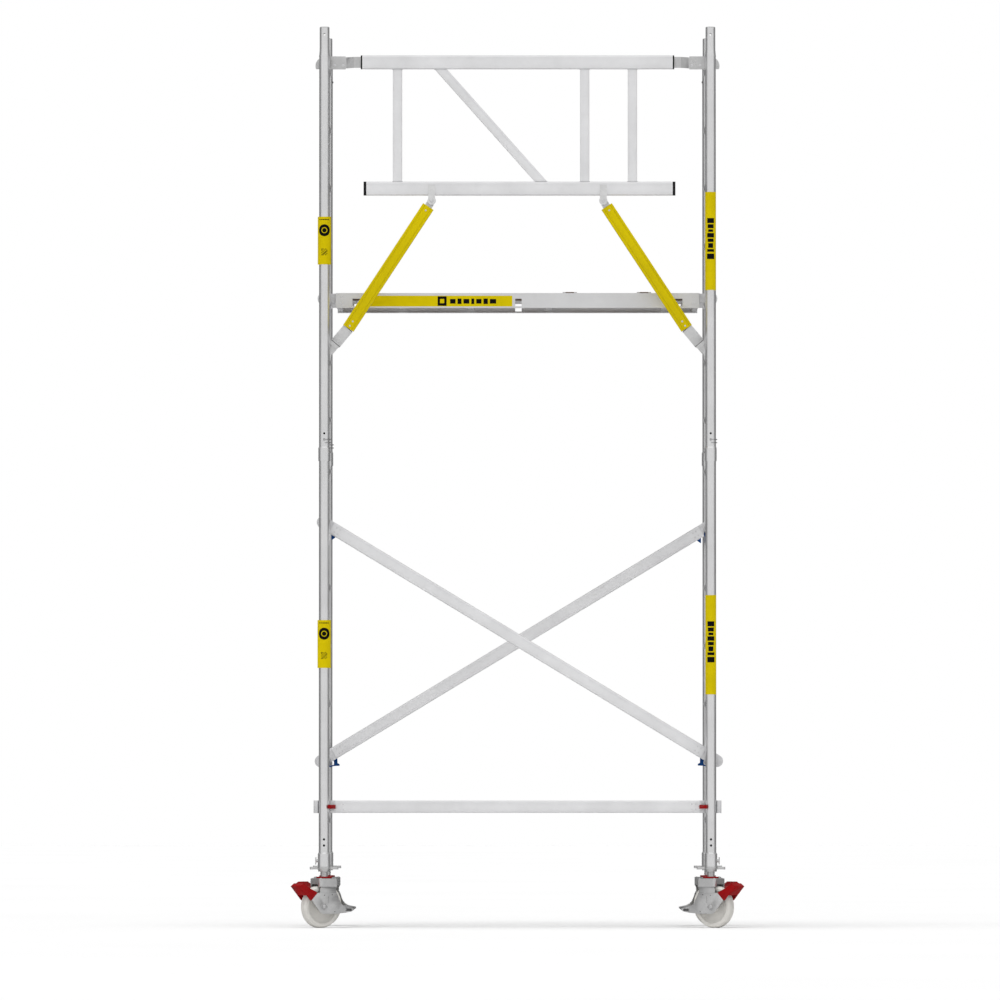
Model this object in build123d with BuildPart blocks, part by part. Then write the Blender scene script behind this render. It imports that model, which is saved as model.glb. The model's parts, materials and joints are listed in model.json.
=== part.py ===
"""Mobile tower scaffold: two stacked end frames a side on four castors, with a hatch platform.

Frame: origin on the ground under the middle of the tower, +X to the right along the bay,
+Y to the back, +Z up. All sizes in millimetres.
"""
import os
from math import atan2, cos, degrees, hypot, radians, sin

from build123d import *

os.makedirs("parts", exist_ok=True)

# ---------------------------------------------------------------- driving dimensions
BAY = 1840.0                # post centre to post centre, left to right
WIDTH = 700.0               # post centre to post centre, front to back
TUBE_OD = 50.8
TUBE_WALL = 2.0
FRAME_FOOT = 290.0          # height of the lower frame's bottom edge
FRAME_LENGTH = 1930.0       # one end frame, bottom edge to top edge
RUNG_PITCH = 280.0
RUNG_COUNT = 7              # rungs in one end frame
FIRST_RUNG = 221.0          # first rung above the frame's bottom edge
RUNG_OD = 38.0
RUNG_WALL = 3.0
RUNG_FLUTES = 20            # shallow grooves round a rung, for grip
FLUTE_WIDTH = 2.6
FLUTE_DEPTH = 0.9
GAP = 0.3                   # free gap between faces of pieces that move apart
PIN_GAP = 0.06              # radial gap between a pin and its hole

POST_X = BAY / 2
POST_Y = WIDTH / 2
POST_R = TUBE_OD / 2
POST_BORE_R = POST_R - TUBE_WALL
RUNG_R = RUNG_OD / 2
POST_PLACES = [(-POST_X, -POST_Y), (POST_X, -POST_Y), (-POST_X, POST_Y), (POST_X, POST_Y)]

# Spigot between the frames and on top of them
SPIGOT_OD = 46.4
SPIGOT_RISE = 140.0         # above the frame's top edge
SPIGOT_DEPTH = 120.0        # below it, inside the post
SPIGOT_RING = 2.0           # stop ring between two frames
SPIGOT_RING_OD = 54.0
SPIGOT_CONE = 34.0

# Bell at the bottom of each post
BELL_LENGTH = 60.0
BELL_BORE_R = 25.9
BELL_TAPER = 8.0
LOWER_BELL_OD = 60.0
UPPER_BELL_OD = 57.0
PIN_HOLE_R = 5.5
PIN_HOLES = (101.0, 130.0)  # above the frame's bottom edge

JOINT_Z = FRAME_FOOT + FRAME_LENGTH
UPPER_FOOT = JOINT_Z + SPIGOT_RING
TOP_Z = UPPER_FOOT + FRAME_LENGTH
LOWER_RUNGS = [FRAME_FOOT + FIRST_RUNG + RUNG_PITCH * i for i in range(RUNG_COUNT)]
UPPER_RUNGS = [JOINT_Z + FIRST_RUNG + RUNG_PITCH * i for i in range(RUNG_COUNT)]

# Adjustable leg
SPINDLE_OD = 37.0
SPINDLE_BORE_R = 13.0
SPINDLE_BOTTOM = 243.0
SPINDLE_LENGTH = 520.0
NUT_Z = 267.0
NUT_R = 33.0
NUT_BODY = 10.0             # plain part of the nut under the handles
HANDLE_REACH = 68.0
HANDLE_THICK = 12.4

# Castor, in its own frame: u towards the brake pedal, v across the wheel, z up
CASTOR_TURN = 36.0          # pedal direction, degrees out from the bay line
CASTOR_TRAIL = 24.0
WHEEL_R = 100.0
WHEEL_WIDTH = 44.0
HUB_WIDTH = 58.0
AXLE_R = 7.0
LEG_IN = 32.0
LEG_OUT = 36.0
HOUSING_LENGTH = 108.0
HOUSING_WIDTH = 90.0
HOUSING_TOP = 235.0
HOUSING_BOTTOM = 195.0
COVER_OUT = 40.0
RING_OD = 76.0

# Platform
DECK_TOP = 3027.0
DECK_THICK = 12.0
PLATFORM_RUNG = UPPER_RUNGS[2]
PLATFORM_HALF = 868.0
PLATFORM_Y = 250.0
BEAM_DEPTH = 71.0
BEAM_FLANGE = 22.0
BEAM_WALL = 3.0
HATCH_X = (150.0, 705.0)
HATCH_Y = 190.0
HATCH_GAP = 3.0
SLOT_HEIGHT = (2964.0, 3000.0)
SLOTS_X = ((-788.0, -748.0), (-11.0, 20.0), (748.0, 788.0))

# Guardrail
GUARD_Y = -352.0
RAIL_HEIGHT = 66.0
RAIL_DEPTH = 30.0
RAIL_WALL = 2.5
TOP_RAIL_Z = 4123.0
LOW_RAIL_Z = 3520.0
TOP_RAIL_HALF = 740.0
LOW_RAIL_HALF = 730.0
UPRIGHT_WIDTH = 44.0
UPRIGHT_DEPTH = 22.0
UPRIGHTS_X = (-572.0, 320.5, 548.0)
GUARD_DIAGONAL = (-366.0, 112.0)
HOOK_Y = -318.0             # plane of the hooks that pass behind the front posts

# Yellow struts from the lower guardrail tube to the frames
STRUT_TOP = (-425.0, 3434.0)
STRUT_FOOT = (-806.0, 2853.0)
STRUT_WIDTH = 59.0
STRUT_DEPTH = 25.0
KNUCKLE = (-409.0, 3461.0)
KNUCKLE_R = 20.0
KNUCKLE_PIN_R = 5.0
STRUT_RUNG_Z = UPPER_RUNGS[1]

# Braces
BRACE_HEIGHT = 58.0
BRACE_DEPTH = 26.0
BRACE_WALL = 2.0
BRACE_HALF = 866.0          # half length of the horizontal
DIAGONAL_HALF = 886.0       # half span of a diagonal between its cut ends
DIAGONAL_Y = 300.0
DIAGONAL_HIGH = 1925.0
DIAGONAL_LOW = 811.0
HORIZONTAL_Z = 575.0
HORIZONTAL_Y = -318.0
LATCH_PIN_R = 3.0


# ---------------------------------------------------------------- helpers
def keep(builder, name):
    """Label a finished sub-part and write it as one STEP file."""
    builder.part.label = name
    export_step(builder.part, f"parts/{name}.step")


def profile(points, plane=Plane.XZ):
    """A closed straight-edged face on a plane."""
    with BuildSketch(plane) as face:
        with BuildLine():
            Polyline(*points, close=True)
        make_face()
    return face.sketch


GROOVE_WIDTH = 3.0
GROOVE_DEPTH = 0.8
GROOVE_AT = 0.29            # share of the tube's height, from its middle


def box_tube(length, height, depth, wall, corner):
    """A rounded rectangular tube along X, centred on the origin, with two grooves on each wide face."""
    with BuildPart() as tube:
        with BuildSketch(Plane.YZ):
            RectangleRounded(depth, height, corner)
            RectangleRounded(depth - 2 * wall, height - 2 * wall, corner - wall, mode=Mode.SUBTRACT)
            with GridLocations(depth, 2 * GROOVE_AT * height, 2, 2):
                Rectangle(2 * GROOVE_DEPTH, GROOVE_WIDTH, mode=Mode.SUBTRACT)
        extrude(amount=length / 2, both=True)
    return tube.part


# ---------------------------------------------------------------- end frames
def post(foot, bell_od):
    """One post with the bell at its foot that clears the spigot's cone."""
    bell_r = bell_od / 2
    bell_top = foot + BELL_LENGTH
    with BuildPart() as tube:
        with BuildSketch(Plane.XZ):
            with BuildLine():
                Polyline(
                    (BELL_BORE_R, foot),
                    (bell_r, foot),
                    (bell_r, bell_top),
                    (POST_R, bell_top + BELL_TAPER),
                    (POST_R, foot + FRAME_LENGTH),
                    (POST_BORE_R, foot + FRAME_LENGTH),
                    (POST_BORE_R, bell_top + BELL_TAPER),
                    (BELL_BORE_R, bell_top),
                    close=True,
                )
            make_face()
        revolve(axis=Axis.Z)
        for rise in PIN_HOLES:
            with BuildSketch(Plane.XZ):
                with Locations((0, foot + rise)):
                    Circle(PIN_HOLE_R)
            extrude(amount=bell_od, both=True, mode=Mode.SUBTRACT)
    return tube.part


def make_posts(name, foot, bell_od):
    single = post(foot, bell_od)
    with BuildPart() as posts:
        with Locations(*POST_PLACES):
            add(single)
    keep(posts, name)


COPE_GAP = 0.02             # so that a coped end only just clears the tube that it is welded to


def rung_master():
    """One fluted rung along Y at the origin, coped at both ends to the posts."""
    with BuildPart() as rung:
        with BuildSketch(Plane.XZ):
            Circle(RUNG_R)
            Circle(RUNG_R - RUNG_WALL, mode=Mode.SUBTRACT)
            with PolarLocations(RUNG_R, RUNG_FLUTES):
                Rectangle(2 * FLUTE_DEPTH, FLUTE_WIDTH, mode=Mode.SUBTRACT)
        extrude(amount=POST_Y, both=True)
        with BuildSketch(Plane.XY):
            with Locations((0, -POST_Y), (0, POST_Y)):
                Circle(POST_R + COPE_GAP)
        extrude(amount=RUNG_OD, both=True, mode=Mode.SUBTRACT)
    return rung.part


def make_rungs(name, heights):
    """Rungs between the front and back posts."""
    single = rung_master()
    with BuildPart() as rungs:
        with Locations(*[(x, 0, z) for x in (-POST_X, POST_X) for z in heights]):
            add(single)
    keep(rungs, name)


def make_spigots():
    """Stepped spigots: plugged into a frame's top, with a stop ring and a lead-in cone."""
    r = SPIGOT_OD / 2
    ring_r = SPIGOT_RING_OD / 2
    with BuildPart() as single:
        with BuildSketch(Plane.XZ):
            with BuildLine():
                Polyline(
                    (r - 3, -SPIGOT_DEPTH),
                    (r, -SPIGOT_DEPTH),
                    (r, 0),
                    (ring_r, 0),
                    (ring_r, SPIGOT_RING),
                    (POST_R, SPIGOT_RING),
                    (r, SPIGOT_RING + SPIGOT_CONE),
                    (r, SPIGOT_RISE - 3),
                    (r - 3, SPIGOT_RISE),
                    (r - 6, SPIGOT_RISE),
                    (r - 6, 0),
                    (r - 3, -6),
                    close=True,
                )
            make_face()
        revolve(axis=Axis.Z)
        with BuildSketch(Plane.XZ):
            with Locations((0, SPIGOT_RING + PIN_HOLES[0])):
                Circle(PIN_HOLE_R)
        extrude(amount=TUBE_OD, both=True, mode=Mode.SUBTRACT)
    with BuildPart() as spigots:
        for z in (JOINT_Z, TOP_Z):
            with Locations(*[(x, y, z) for x, y in POST_PLACES]):
                add(single.part)
    keep(spigots, "joint_spigots")


def make_interlock_clips():
    """Spring clips: a pin through post and spigot, and two wires round the +X side."""
    pin_z = UPPER_FOOT + PIN_HOLES[0]
    wire_r = 2.0
    loop_r = POST_R + 4.5
    drop = 15.0
    start = radians(-84)
    start_plane = Plane(origin=(0, 0, 0), x_dir=(cos(start), sin(start)), z_dir=(sin(start), -cos(start)))
    with BuildPart() as single:
        with BuildSketch(Plane.XZ):
            Circle(4.5)
        extrude(amount=loop_r + wire_r, both=True)
        for z in (0, -drop):
            with BuildSketch(start_plane):
                with Locations((loop_r, start_plane.to_local_coords(Vector(0, 0, z)).Y)):
                    Circle(wire_r)
            revolve(axis=Axis.Z, revolution_arc=-2 * degrees(start))
        with BuildSketch(Plane.XY.offset(-drop)):
            with Locations((loop_r * cos(start), -loop_r * sin(start))):
                Circle(wire_r)
        extrude(amount=drop)
    with BuildPart() as clips:
        with Locations(*[(x, y, pin_z) for x, y in POST_PLACES]):
            add(single.part)
    keep(clips, "interlock_clips")


def make_leg_locks():
    """Wing bolts on the outer side of each foot bell that hold the leg in the post."""
    bolt_z = FRAME_FOOT + 28
    boss_start = LOWER_BELL_OD / 2 - 0.5
    with BuildPart() as locks:
        for x, y in POST_PLACES:
            side = 1 if x > 0 else -1
            with BuildSketch(Plane.YZ.offset(x + side * boss_start)):
                with Locations((y, bolt_z)):
                    RegularPolygon(9, 6)
            extrude(amount=side * 7)
            with BuildSketch(Plane.YZ.offset(x + side * (boss_start + 7))):
                with Locations((y, bolt_z)):
                    RectangleRounded(9, 34, 4.4)
            extrude(amount=side * 6)
        with BuildSketch(Plane.XY.offset(FRAME_FOOT)):
            with Locations(*POST_PLACES):
                Circle(LOWER_BELL_OD / 2 + 0.02)
        extrude(amount=BELL_LENGTH, mode=Mode.SUBTRACT)
    keep(locks, "leg_lock_bolts")


# ---------------------------------------------------------------- legs and castors
def spindle_master():
    with BuildPart() as spindle:
        with BuildSketch(Plane.XY.offset(SPINDLE_BOTTOM)):
            Circle(SPINDLE_OD / 2)
            Circle(SPINDLE_BORE_R, mode=Mode.SUBTRACT)
        extrude(amount=SPINDLE_LENGTH)
    return spindle.part


def wing_nut_master():
    """Round nut with two handles that lie under the frame's foot."""
    top = FRAME_FOOT - GAP
    with BuildPart() as nut:
        with BuildSketch(Plane.XY.offset(NUT_Z)):
            Circle(NUT_R - 5)
        extrude(amount=top - NUT_Z)
        with BuildSketch(Plane.XY.offset(NUT_Z + NUT_BODY)):
            Circle(NUT_R)
            SlotOverall(2 * HANDLE_REACH, 17)
        extrude(amount=HANDLE_THICK)
        with BuildSketch(Plane.XY.offset(NUT_Z)):
            Circle(SPINDLE_OD / 2 + 0.8)
        extrude(amount=top - NUT_Z, mode=Mode.SUBTRACT)
    return nut.part


def ring_master():
    """Cover ring between the castor's housing and the spindle."""
    with BuildPart() as ring:
        with BuildSketch(Plane.XY.offset(HOUSING_TOP)):
            Circle(RING_OD / 2)
            Circle(SPINDLE_BORE_R + 0.2, mode=Mode.SUBTRACT)
        extrude(amount=SPINDLE_BOTTOM - GAP - HOUSING_TOP)
        chamfer(ring.edges().filter_by(GeomType.CIRCLE).sort_by(SortBy.RADIUS)[-1], 1.5)
    return ring.part


def fork_master():
    """Pressed housing with two legs and the kingpin, and the axle bolt as a second solid."""
    wall = 4.0
    with BuildPart() as fork:
        with BuildSketch(Plane.XY.offset(HOUSING_BOTTOM)):
            RectangleRounded(HOUSING_LENGTH, HOUSING_WIDTH, 14)
        extrude(amount=HOUSING_TOP - HOUSING_BOTTOM)
        fillet(fork.edges().group_by(Axis.Z)[-1], 3)
        with BuildSketch(Plane.XY.offset(HOUSING_BOTTOM)):
            RectangleRounded(HOUSING_LENGTH - 2 * wall, HOUSING_WIDTH - 2 * wall, 10)
        extrude(amount=HOUSING_TOP - HOUSING_BOTTOM - wall, mode=Mode.SUBTRACT)
        # room for the wheel's top under the pedal-side wall
        with BuildSketch(Plane.XY.offset(HOUSING_BOTTOM)):
            with Locations((HOUSING_LENGTH / 2, 0)):
                Rectangle(4 * wall, 56)
        extrude(amount=12, mode=Mode.SUBTRACT)
        # shoulders from the housing's walls in to the legs, then the legs
        half = HOUSING_WIDTH / 2
        shoulder = [
            (half, HOUSING_BOTTOM + 1), (LEG_OUT, HOUSING_BOTTOM - 10), (LEG_IN, HOUSING_BOTTOM - 10),
            (LEG_IN, HOUSING_BOTTOM - 6), (half - wall, HOUSING_BOTTOM + 4), (half, HOUSING_BOTTOM + 4),
        ]
        leg = [
            (-46, HOUSING_BOTTOM - 8), (46, HOUSING_BOTTOM - 8), (50, 150), (42, 96),
            (32, 84), (14, 84), (-8, 100), (-44, 150),
        ]
        for side in (1, -1):
            inward = [(side * y, z) for y, z in shoulder]
            extrude(profile(inward, Plane.YZ), amount=HOUSING_LENGTH / 2 - 8, both=True)
            extrude(profile(leg, Plane.XZ.offset(side * LEG_IN)), amount=side * (LEG_OUT - LEG_IN))
        with BuildSketch(Plane.XZ):
            with Locations((CASTOR_TRAIL, WHEEL_R)):
                Circle(AXLE_R + 0.05)
        extrude(amount=HOUSING_WIDTH, both=True, mode=Mode.SUBTRACT)
        # kingpin up into the spindle's bore
        with BuildSketch(Plane.XY.offset(HOUSING_TOP - wall)):
            Circle(SPINDLE_BORE_R - 0.06)
        extrude(amount=90)
        chamfer(fork.edges().group_by(Axis.Z)[-1], 2)
    head = COVER_OUT + GAP
    with BuildPart() as both:
        add(fork.part)
        with BuildSketch(Plane.XZ):
            with Locations((CASTOR_TRAIL, WHEEL_R)):
                Circle(AXLE_R)
        extrude(amount=head, both=True)
        for side in (1, -1):
            with BuildSketch(Plane.XZ.offset(side * head)):
                with Locations((CASTOR_TRAIL, WHEEL_R)):
                    Circle(13)
            extrude(amount=side * 6, taper=30)
    return both.part


def wheel_master():
    """Nylon wheel about its own axis: rounded tread, recessed web, long hub."""
    half = WHEEL_WIDTH / 2
    hub = HUB_WIDTH / 2
    with BuildPart() as wheel:
        with BuildSketch(Plane.XY):
            with BuildLine():
                Polyline(
                    (AXLE_R + 0.07, -hub), (18, -hub), (24, -9), (64, -9), (70, -12), (78, -half + 5),
                    (80, -half), (WHEEL_R - 6, -half), (WHEEL_R, -half + 8), (WHEEL_R, half - 8),
                    (WHEEL_R - 6, half), (80, half), (78, half - 5), (70, 12), (64, 9), (24, 9),
                    (18, hub), (AXLE_R + 0.07, hub),
                    close=True,
                )
            make_face()
            corners = [v for v in vertices() if v.X > WHEEL_R - 7]
            fillet(corners, 3)
        revolve(axis=Axis.Y)
    return wheel.part


def rocker_master():
    """Brake rocker: a cover plate outside each leg, joined by the release tread."""
    inner = LEG_OUT + GAP
    thick = COVER_OUT - inner
    cover = [
        (65, 166), (98, 133), (48, 73), (32, 66.5), (-44, 66.5), (-98, 71), (-130, 76), (-146, 84),
        (-146, 92), (-106, 98), (-95, 101.5), (-80, 109), (-68, 120), (-58, 138), (-52, 154), (-45, 166),
    ]
    with BuildPart() as rocker:
        for side in (1, -1):
            extrude(profile(cover, Plane.XZ.offset(side * inner)), amount=side * thick)
        tread = [(-106, 98), (-146, 92), (-146, 87), (-106, 93)]
        extrude(profile(tread), amount=COVER_OUT, both=True)
        with BuildSketch(Plane.XZ):
            with Locations((CASTOR_TRAIL, WHEEL_R)):
                Circle(AXLE_R + 0.1)
            with Locations((-118, 84)):
                SlotOverall(32, 13)
        extrude(amount=COVER_OUT, both=True, mode=Mode.SUBTRACT)
    return rocker.part


def pedal_master():
    """Red brake pedal: a faceted channel bridging the wheel, butted to the rocker's covers."""
    skin = COVER_OUT - LEG_OUT - GAP
    with BuildPart() as pedal:
        outside = [(146, 212), (166, 198), (105, 130), (98.2, 133), (65, 166.2), (72, 172), (112, 190)]
        inside = [(144, 207), (160, 196), (131, 163), (100, 100), (40, 150), (62, 180), (104, 182)]
        extrude(profile(outside), amount=COVER_OUT, both=True)
        extrude(profile(inside), amount=COVER_OUT - skin, both=True, mode=Mode.SUBTRACT)
    return pedal.part


def castor_angle(x, y):
    """Direction of the pedal: outwards along the bay and away from the tower's middle."""
    turn = radians(CASTOR_TURN)
    return degrees(atan2((1 if y > 0 else -1) * sin(turn), (1 if x > 0 else -1) * cos(turn)))


def make_castors():
    names = ("front_left", "front_right", "back_left", "back_right")
    masters = {
        "spindle": (spindle_master(), (0, 0, 0), False),
        "wing_nut": (wing_nut_master(), (0, 0, 0), False),
        "cover_ring": (ring_master(), (0, 0, 0), True),
        "castor_fork": (fork_master(), (0, 0, 0), True),
        "wheel": (wheel_master(), (CASTOR_TRAIL, 0, WHEEL_R), True),
        "brake_rocker": (rocker_master(), (0, 0, 0), True),
        "brake_pedal": (pedal_master(), (0, 0, 0), True),
    }
    for corner, (x, y) in zip(names, POST_PLACES):
        for piece, (master, place, turned) in masters.items():
            angle = castor_angle(x, y) if turned else 0
            with BuildPart() as placed:
                with Locations(Location((x, y, 0), (0, 0, angle)) * Location(place)):
                    add(master)
            keep(placed, f"{piece}_{corner}")


# ---------------------------------------------------------------- platform
def make_side_beams():
    """Two long C beams with a ledge for the deck and see-through slots."""
    web_bottom = DECK_TOP - BEAM_DEPTH
    ledge = DECK_TOP - DECK_THICK
    inner = PLATFORM_Y - BEAM_FLANGE - BEAM_WALL
    with BuildPart() as beams:
        for side in (1, -1):
            with BuildSketch(Plane.YZ):
                for y0, y1, z0, z1 in (
                    (PLATFORM_Y - BEAM_WALL, PLATFORM_Y, web_bottom, DECK_TOP),
                    (inner, PLATFORM_Y - BEAM_WALL, ledge - BEAM_WALL, ledge),
                    (inner, PLATFORM_Y - BEAM_WALL, web_bottom, web_bottom + BEAM_WALL),
                ):
                    with Locations((side * (y0 + y1) / 2, (z0 + z1) / 2)):
                        Rectangle(y1 - y0, z1 - z0)
            extrude(amount=PLATFORM_HALF, both=True)
        with BuildSketch(Plane.XZ):
            for x0, x1 in SLOTS_X:
                with Locations(((x0 + x1) / 2, sum(SLOT_HEIGHT) / 2)):
                    Rectangle(x1 - x0, SLOT_HEIGHT[1] - SLOT_HEIGHT[0])
        extrude(amount=PLATFORM_Y + 1, both=True, mode=Mode.SUBTRACT)
    keep(beams, "platform_side_beams")


def make_cross_beams():
    """Two end beams and four cross beams between the side beams; two of them carry the hatch."""
    top = DECK_TOP - DECK_THICK - BEAM_WALL - 0.2
    half = PLATFORM_Y - BEAM_WALL - 0.2
    spans = [
        (-PLATFORM_HALF + 3, -PLATFORM_HALF + 28, 50), (PLATFORM_HALF - 28, PLATFORM_HALF - 3, 50),
        (-570, -540, 40), (-240, -210, 40),
        (HATCH_X[0] - 15, HATCH_X[0] + 15, 40), (HATCH_X[1] - 15, HATCH_X[1] + 15, 40),
    ]
    with BuildPart() as beams:
        for x0, x1, depth in spans:
            with BuildSketch(Plane.XZ):
                with Locations(((x0 + x1) / 2, top - depth / 2)):
                    RectangleRounded(x1 - x0, depth, 3)
                    RectangleRounded(x1 - x0 - 5, depth - 5, 1, mode=Mode.SUBTRACT)
            extrude(amount=half, both=True)
    keep(beams, "platform_cross_beams")


def make_platform_hooks():
    """Four claws from the end beams over the rungs."""
    grip = RUNG_R + GAP
    back = PLATFORM_HALF - 2.8
    outer = RUNG_R + 16
    lip = 27                    # how far the hook reaches below the rung's centre
    y0 = PLATFORM_Y - BEAM_FLANGE - BEAM_WALL - 15
    with BuildPart() as hooks:
        for side in (1, -1):
            with BuildSketch(Plane.XZ.offset(y0)):
                with Locations((side * (back + POST_X) / 2, PLATFORM_RUNG + 2)):
                    Rectangle(POST_X - back, 46)
                with Locations((side * POST_X, PLATFORM_RUNG)):
                    Circle(outer)
                with Locations((side * POST_X, PLATFORM_RUNG)):
                    Circle(grip, mode=Mode.SUBTRACT)
                with Locations((side * POST_X, PLATFORM_RUNG - outer)):
                    Rectangle(2 * grip, 2 * outer, mode=Mode.SUBTRACT)
                with Locations((side * (POST_X + outer), PLATFORM_RUNG - lip - outer)):
                    Rectangle(4 * outer, 2 * outer, mode=Mode.SUBTRACT)
            extrude(amount=14)
        mirror(about=Plane.XZ)
    keep(hooks, "platform_hooks")


def make_deck():
    """Plywood deck with the hatch opening."""
    with BuildPart() as deck:
        with BuildSketch(Plane.XY.offset(DECK_TOP - DECK_THICK)):
            Rectangle(2 * (PLATFORM_HALF - 3), 2 * (PLATFORM_Y - BEAM_WALL - 0.3))
            with Locations((sum(HATCH_X) / 2, 0)):
                Rectangle(HATCH_X[1] - HATCH_X[0], 2 * HATCH_Y, mode=Mode.SUBTRACT)
        extrude(amount=DECK_THICK)
    keep(deck, "platform_deck")


HINGE_Y = -(HATCH_Y + 3)
HINGE_Z = DECK_TOP + 4
HINGES_X = (HATCH_X[0] + 100, HATCH_X[1] - 100)
HINGE_EYE_R = 3.9
HINGE_PIN_R = 2.5
HINGE_LEAF = 8.0            # from the pin to the lid's leaf
LID_DROP = 2.7              # lid is this much thicker than the deck, down to the beam ledge


def make_hatch():
    """Hatch lid with two knuckles, and the fixed hinge halves with their pins."""
    lid_y = HATCH_Y - HATCH_GAP
    with BuildPart() as lid:
        with BuildSketch(Plane.XY.offset(DECK_TOP - DECK_THICK - LID_DROP)):
            with Locations((sum(HATCH_X) / 2, 0)):
                Rectangle(HATCH_X[1] - HATCH_X[0] - 2 * HATCH_GAP, 2 * lid_y)
        extrude(amount=DECK_THICK + LID_DROP)
        with BuildSketch(Plane.XY.offset(DECK_TOP)):
            with Locations(*[(x, -lid_y + 13) for x in HINGES_X]):
                Rectangle(40, 26)
        extrude(amount=3)
        for x in HINGES_X:
            with BuildSketch(Plane.YZ.offset(x - 20)):
                with Locations((HINGE_Y + HINGE_LEAF / 2, HINGE_Z - 2)):
                    Rectangle(HINGE_LEAF, HINGE_Z - DECK_TOP)
                with Locations((HINGE_Y, HINGE_Z)):
                    Circle(HINGE_EYE_R)
                    Circle(HINGE_PIN_R + PIN_GAP, mode=Mode.SUBTRACT)
            extrude(amount=40)
        with BuildSketch(Plane.XY.offset(DECK_TOP - 10)):
            with Locations((sum(HATCH_X) / 2, 150)):
                SlotOverall(90, 26)
        extrude(amount=20, mode=Mode.SUBTRACT)
    keep(lid, "hatch_lid")
    with BuildPart() as hinge:
        for x in HINGES_X:
            for ear in (-34, 20.5):
                with BuildSketch(Plane.YZ.offset(x + ear)):
                    with Locations((HINGE_Y, HINGE_Z)):
                        Circle(HINGE_EYE_R)
                    with Locations((HINGE_Y - 11, DECK_TOP + 1.5)):
                        Rectangle(24, 3)
                extrude(amount=13.5)
            with BuildSketch(Plane.YZ.offset(x - 30)):
                with Locations((HINGE_Y, HINGE_Z)):
                    Circle(HINGE_PIN_R)
            extrude(amount=60)
    keep(hinge, "hatch_hinge")


# ---------------------------------------------------------------- guardrail
LOW_RAIL_X = 9.5            # the lower tube sits a little off the middle
CAP_LENGTH = 13.0
CAP_RIM = 7.0
PLATE = 6.0
BRACKET_HEIGHT = 52.0
GRIP_PLATE_R = 44.0
TOP_GRIP_Z = UPPER_RUNGS[-1]


def make_guard_tubes():
    """Upper and lower guardrail tubes."""
    upper = box_tube(2 * TOP_RAIL_HALF, RAIL_HEIGHT, RAIL_DEPTH, RAIL_WALL, 9)
    lower = box_tube(2 * LOW_RAIL_HALF, RAIL_HEIGHT, RAIL_DEPTH, RAIL_WALL, 9)
    with BuildPart() as rails:
        with Locations((0, GUARD_Y, TOP_RAIL_Z)):
            add(upper)
        with Locations((LOW_RAIL_X, GUARD_Y, LOW_RAIL_Z)):
            add(lower)
    keep(rails, "guardrail_rails")


def make_guard_uprights():
    """Three uprights and one diagonal between the two guardrail tubes."""
    low = LOW_RAIL_Z + RAIL_HEIGHT / 2
    high = TOP_RAIL_Z - RAIL_HEIGHT / 2
    upright = box_tube(high - low, UPRIGHT_WIDTH, UPRIGHT_DEPTH, 2, 5)
    lean = atan2(high - low, GUARD_DIAGONAL[0] - GUARD_DIAGONAL[1])
    reach = hypot(high - low, GUARD_DIAGONAL[0] - GUARD_DIAGONAL[1]) + 2 * UPRIGHT_WIDTH
    diagonal = box_tube(reach, UPRIGHT_WIDTH, UPRIGHT_DEPTH, 2, 5)
    middle = (low + high) / 2
    with BuildPart() as uprights:
        with Locations(Location((sum(GUARD_DIAGONAL) / 2, GUARD_Y, middle), (0, -degrees(lean), 0))):
            add(diagonal)
        with Locations((0, GUARD_Y, middle)):
            Box(2 * TOP_RAIL_HALF, RAIL_DEPTH, high - low, mode=Mode.INTERSECT)
        with Locations(*[Location((x, GUARD_Y, middle), (0, 90, 0)) for x in UPRIGHTS_X]):
            add(upright)
    keep(uprights, "guardrail_uprights")


def make_guard_caps():
    """Solid caps on the lower tube; slotted rims round the end plates on the upper tube."""
    with BuildPart() as caps:
        for side in (1, -1):
            for x, length, z in (
                (LOW_RAIL_X + side * LOW_RAIL_HALF, CAP_LENGTH, LOW_RAIL_Z),
                (side * TOP_RAIL_HALF, CAP_RIM, TOP_RAIL_Z),
            ):
                with BuildSketch(Plane.YZ.offset(x)):
                    with Locations((GUARD_Y, z)):
                        RectangleRounded(RAIL_DEPTH, RAIL_HEIGHT, 9)
                extrude(amount=side * length)
            with BuildSketch(Plane.YZ.offset(side * TOP_RAIL_HALF)):
                with Locations((GUARD_Y, TOP_RAIL_Z)):
                    Rectangle(PLATE + 0.4, 52.4)
            extrude(amount=side * CAP_RIM, mode=Mode.SUBTRACT)
    keep(caps, "guardrail_end_caps")


def make_guard_brackets():
    """Joggled end plates from the upper tube, behind the front posts, to hooks on the top rungs."""
    bend = [(TOP_RAIL_HALF - 18, GUARD_Y), (778, GUARD_Y), (815, HOOK_Y), (890, HOOK_Y)]
    grip = RUNG_R + GAP
    with BuildPart() as brackets:
        with BuildSketch(Plane.XY.offset(TOP_RAIL_Z)):
            with BuildLine():
                Polyline(*bend)
            trace(line_width=PLATE)
        extrude(amount=BRACKET_HEIGHT / 2, both=True)
        with BuildSketch(Plane.XY.offset(TOP_RAIL_Z - 31)):
            with Locations((856, HOOK_Y)):
                Rectangle(72, PLATE)
        extrude(amount=62)
        with BuildSketch(Plane.XZ.offset(-HOOK_Y - PLATE / 2)):
            with Locations((POST_X, TOP_GRIP_Z - 13)):
                Circle(GRIP_PLATE_R)
            with Locations((POST_X - 22, TOP_GRIP_Z + 1)):
                Rectangle(44, 60)
            with Locations((POST_X, TOP_GRIP_Z)):
                Circle(grip, mode=Mode.SUBTRACT)
            with Locations((POST_X, TOP_GRIP_Z - 40)):
                Rectangle(2 * grip, 80, mode=Mode.SUBTRACT)
            with Locations((POST_X, TOP_GRIP_Z - 78)):
                Rectangle(200, 100, mode=Mode.SUBTRACT)
        extrude(amount=PLATE)
        mirror(about=Plane.YZ)
    keep(brackets, "guardrail_brackets")


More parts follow.
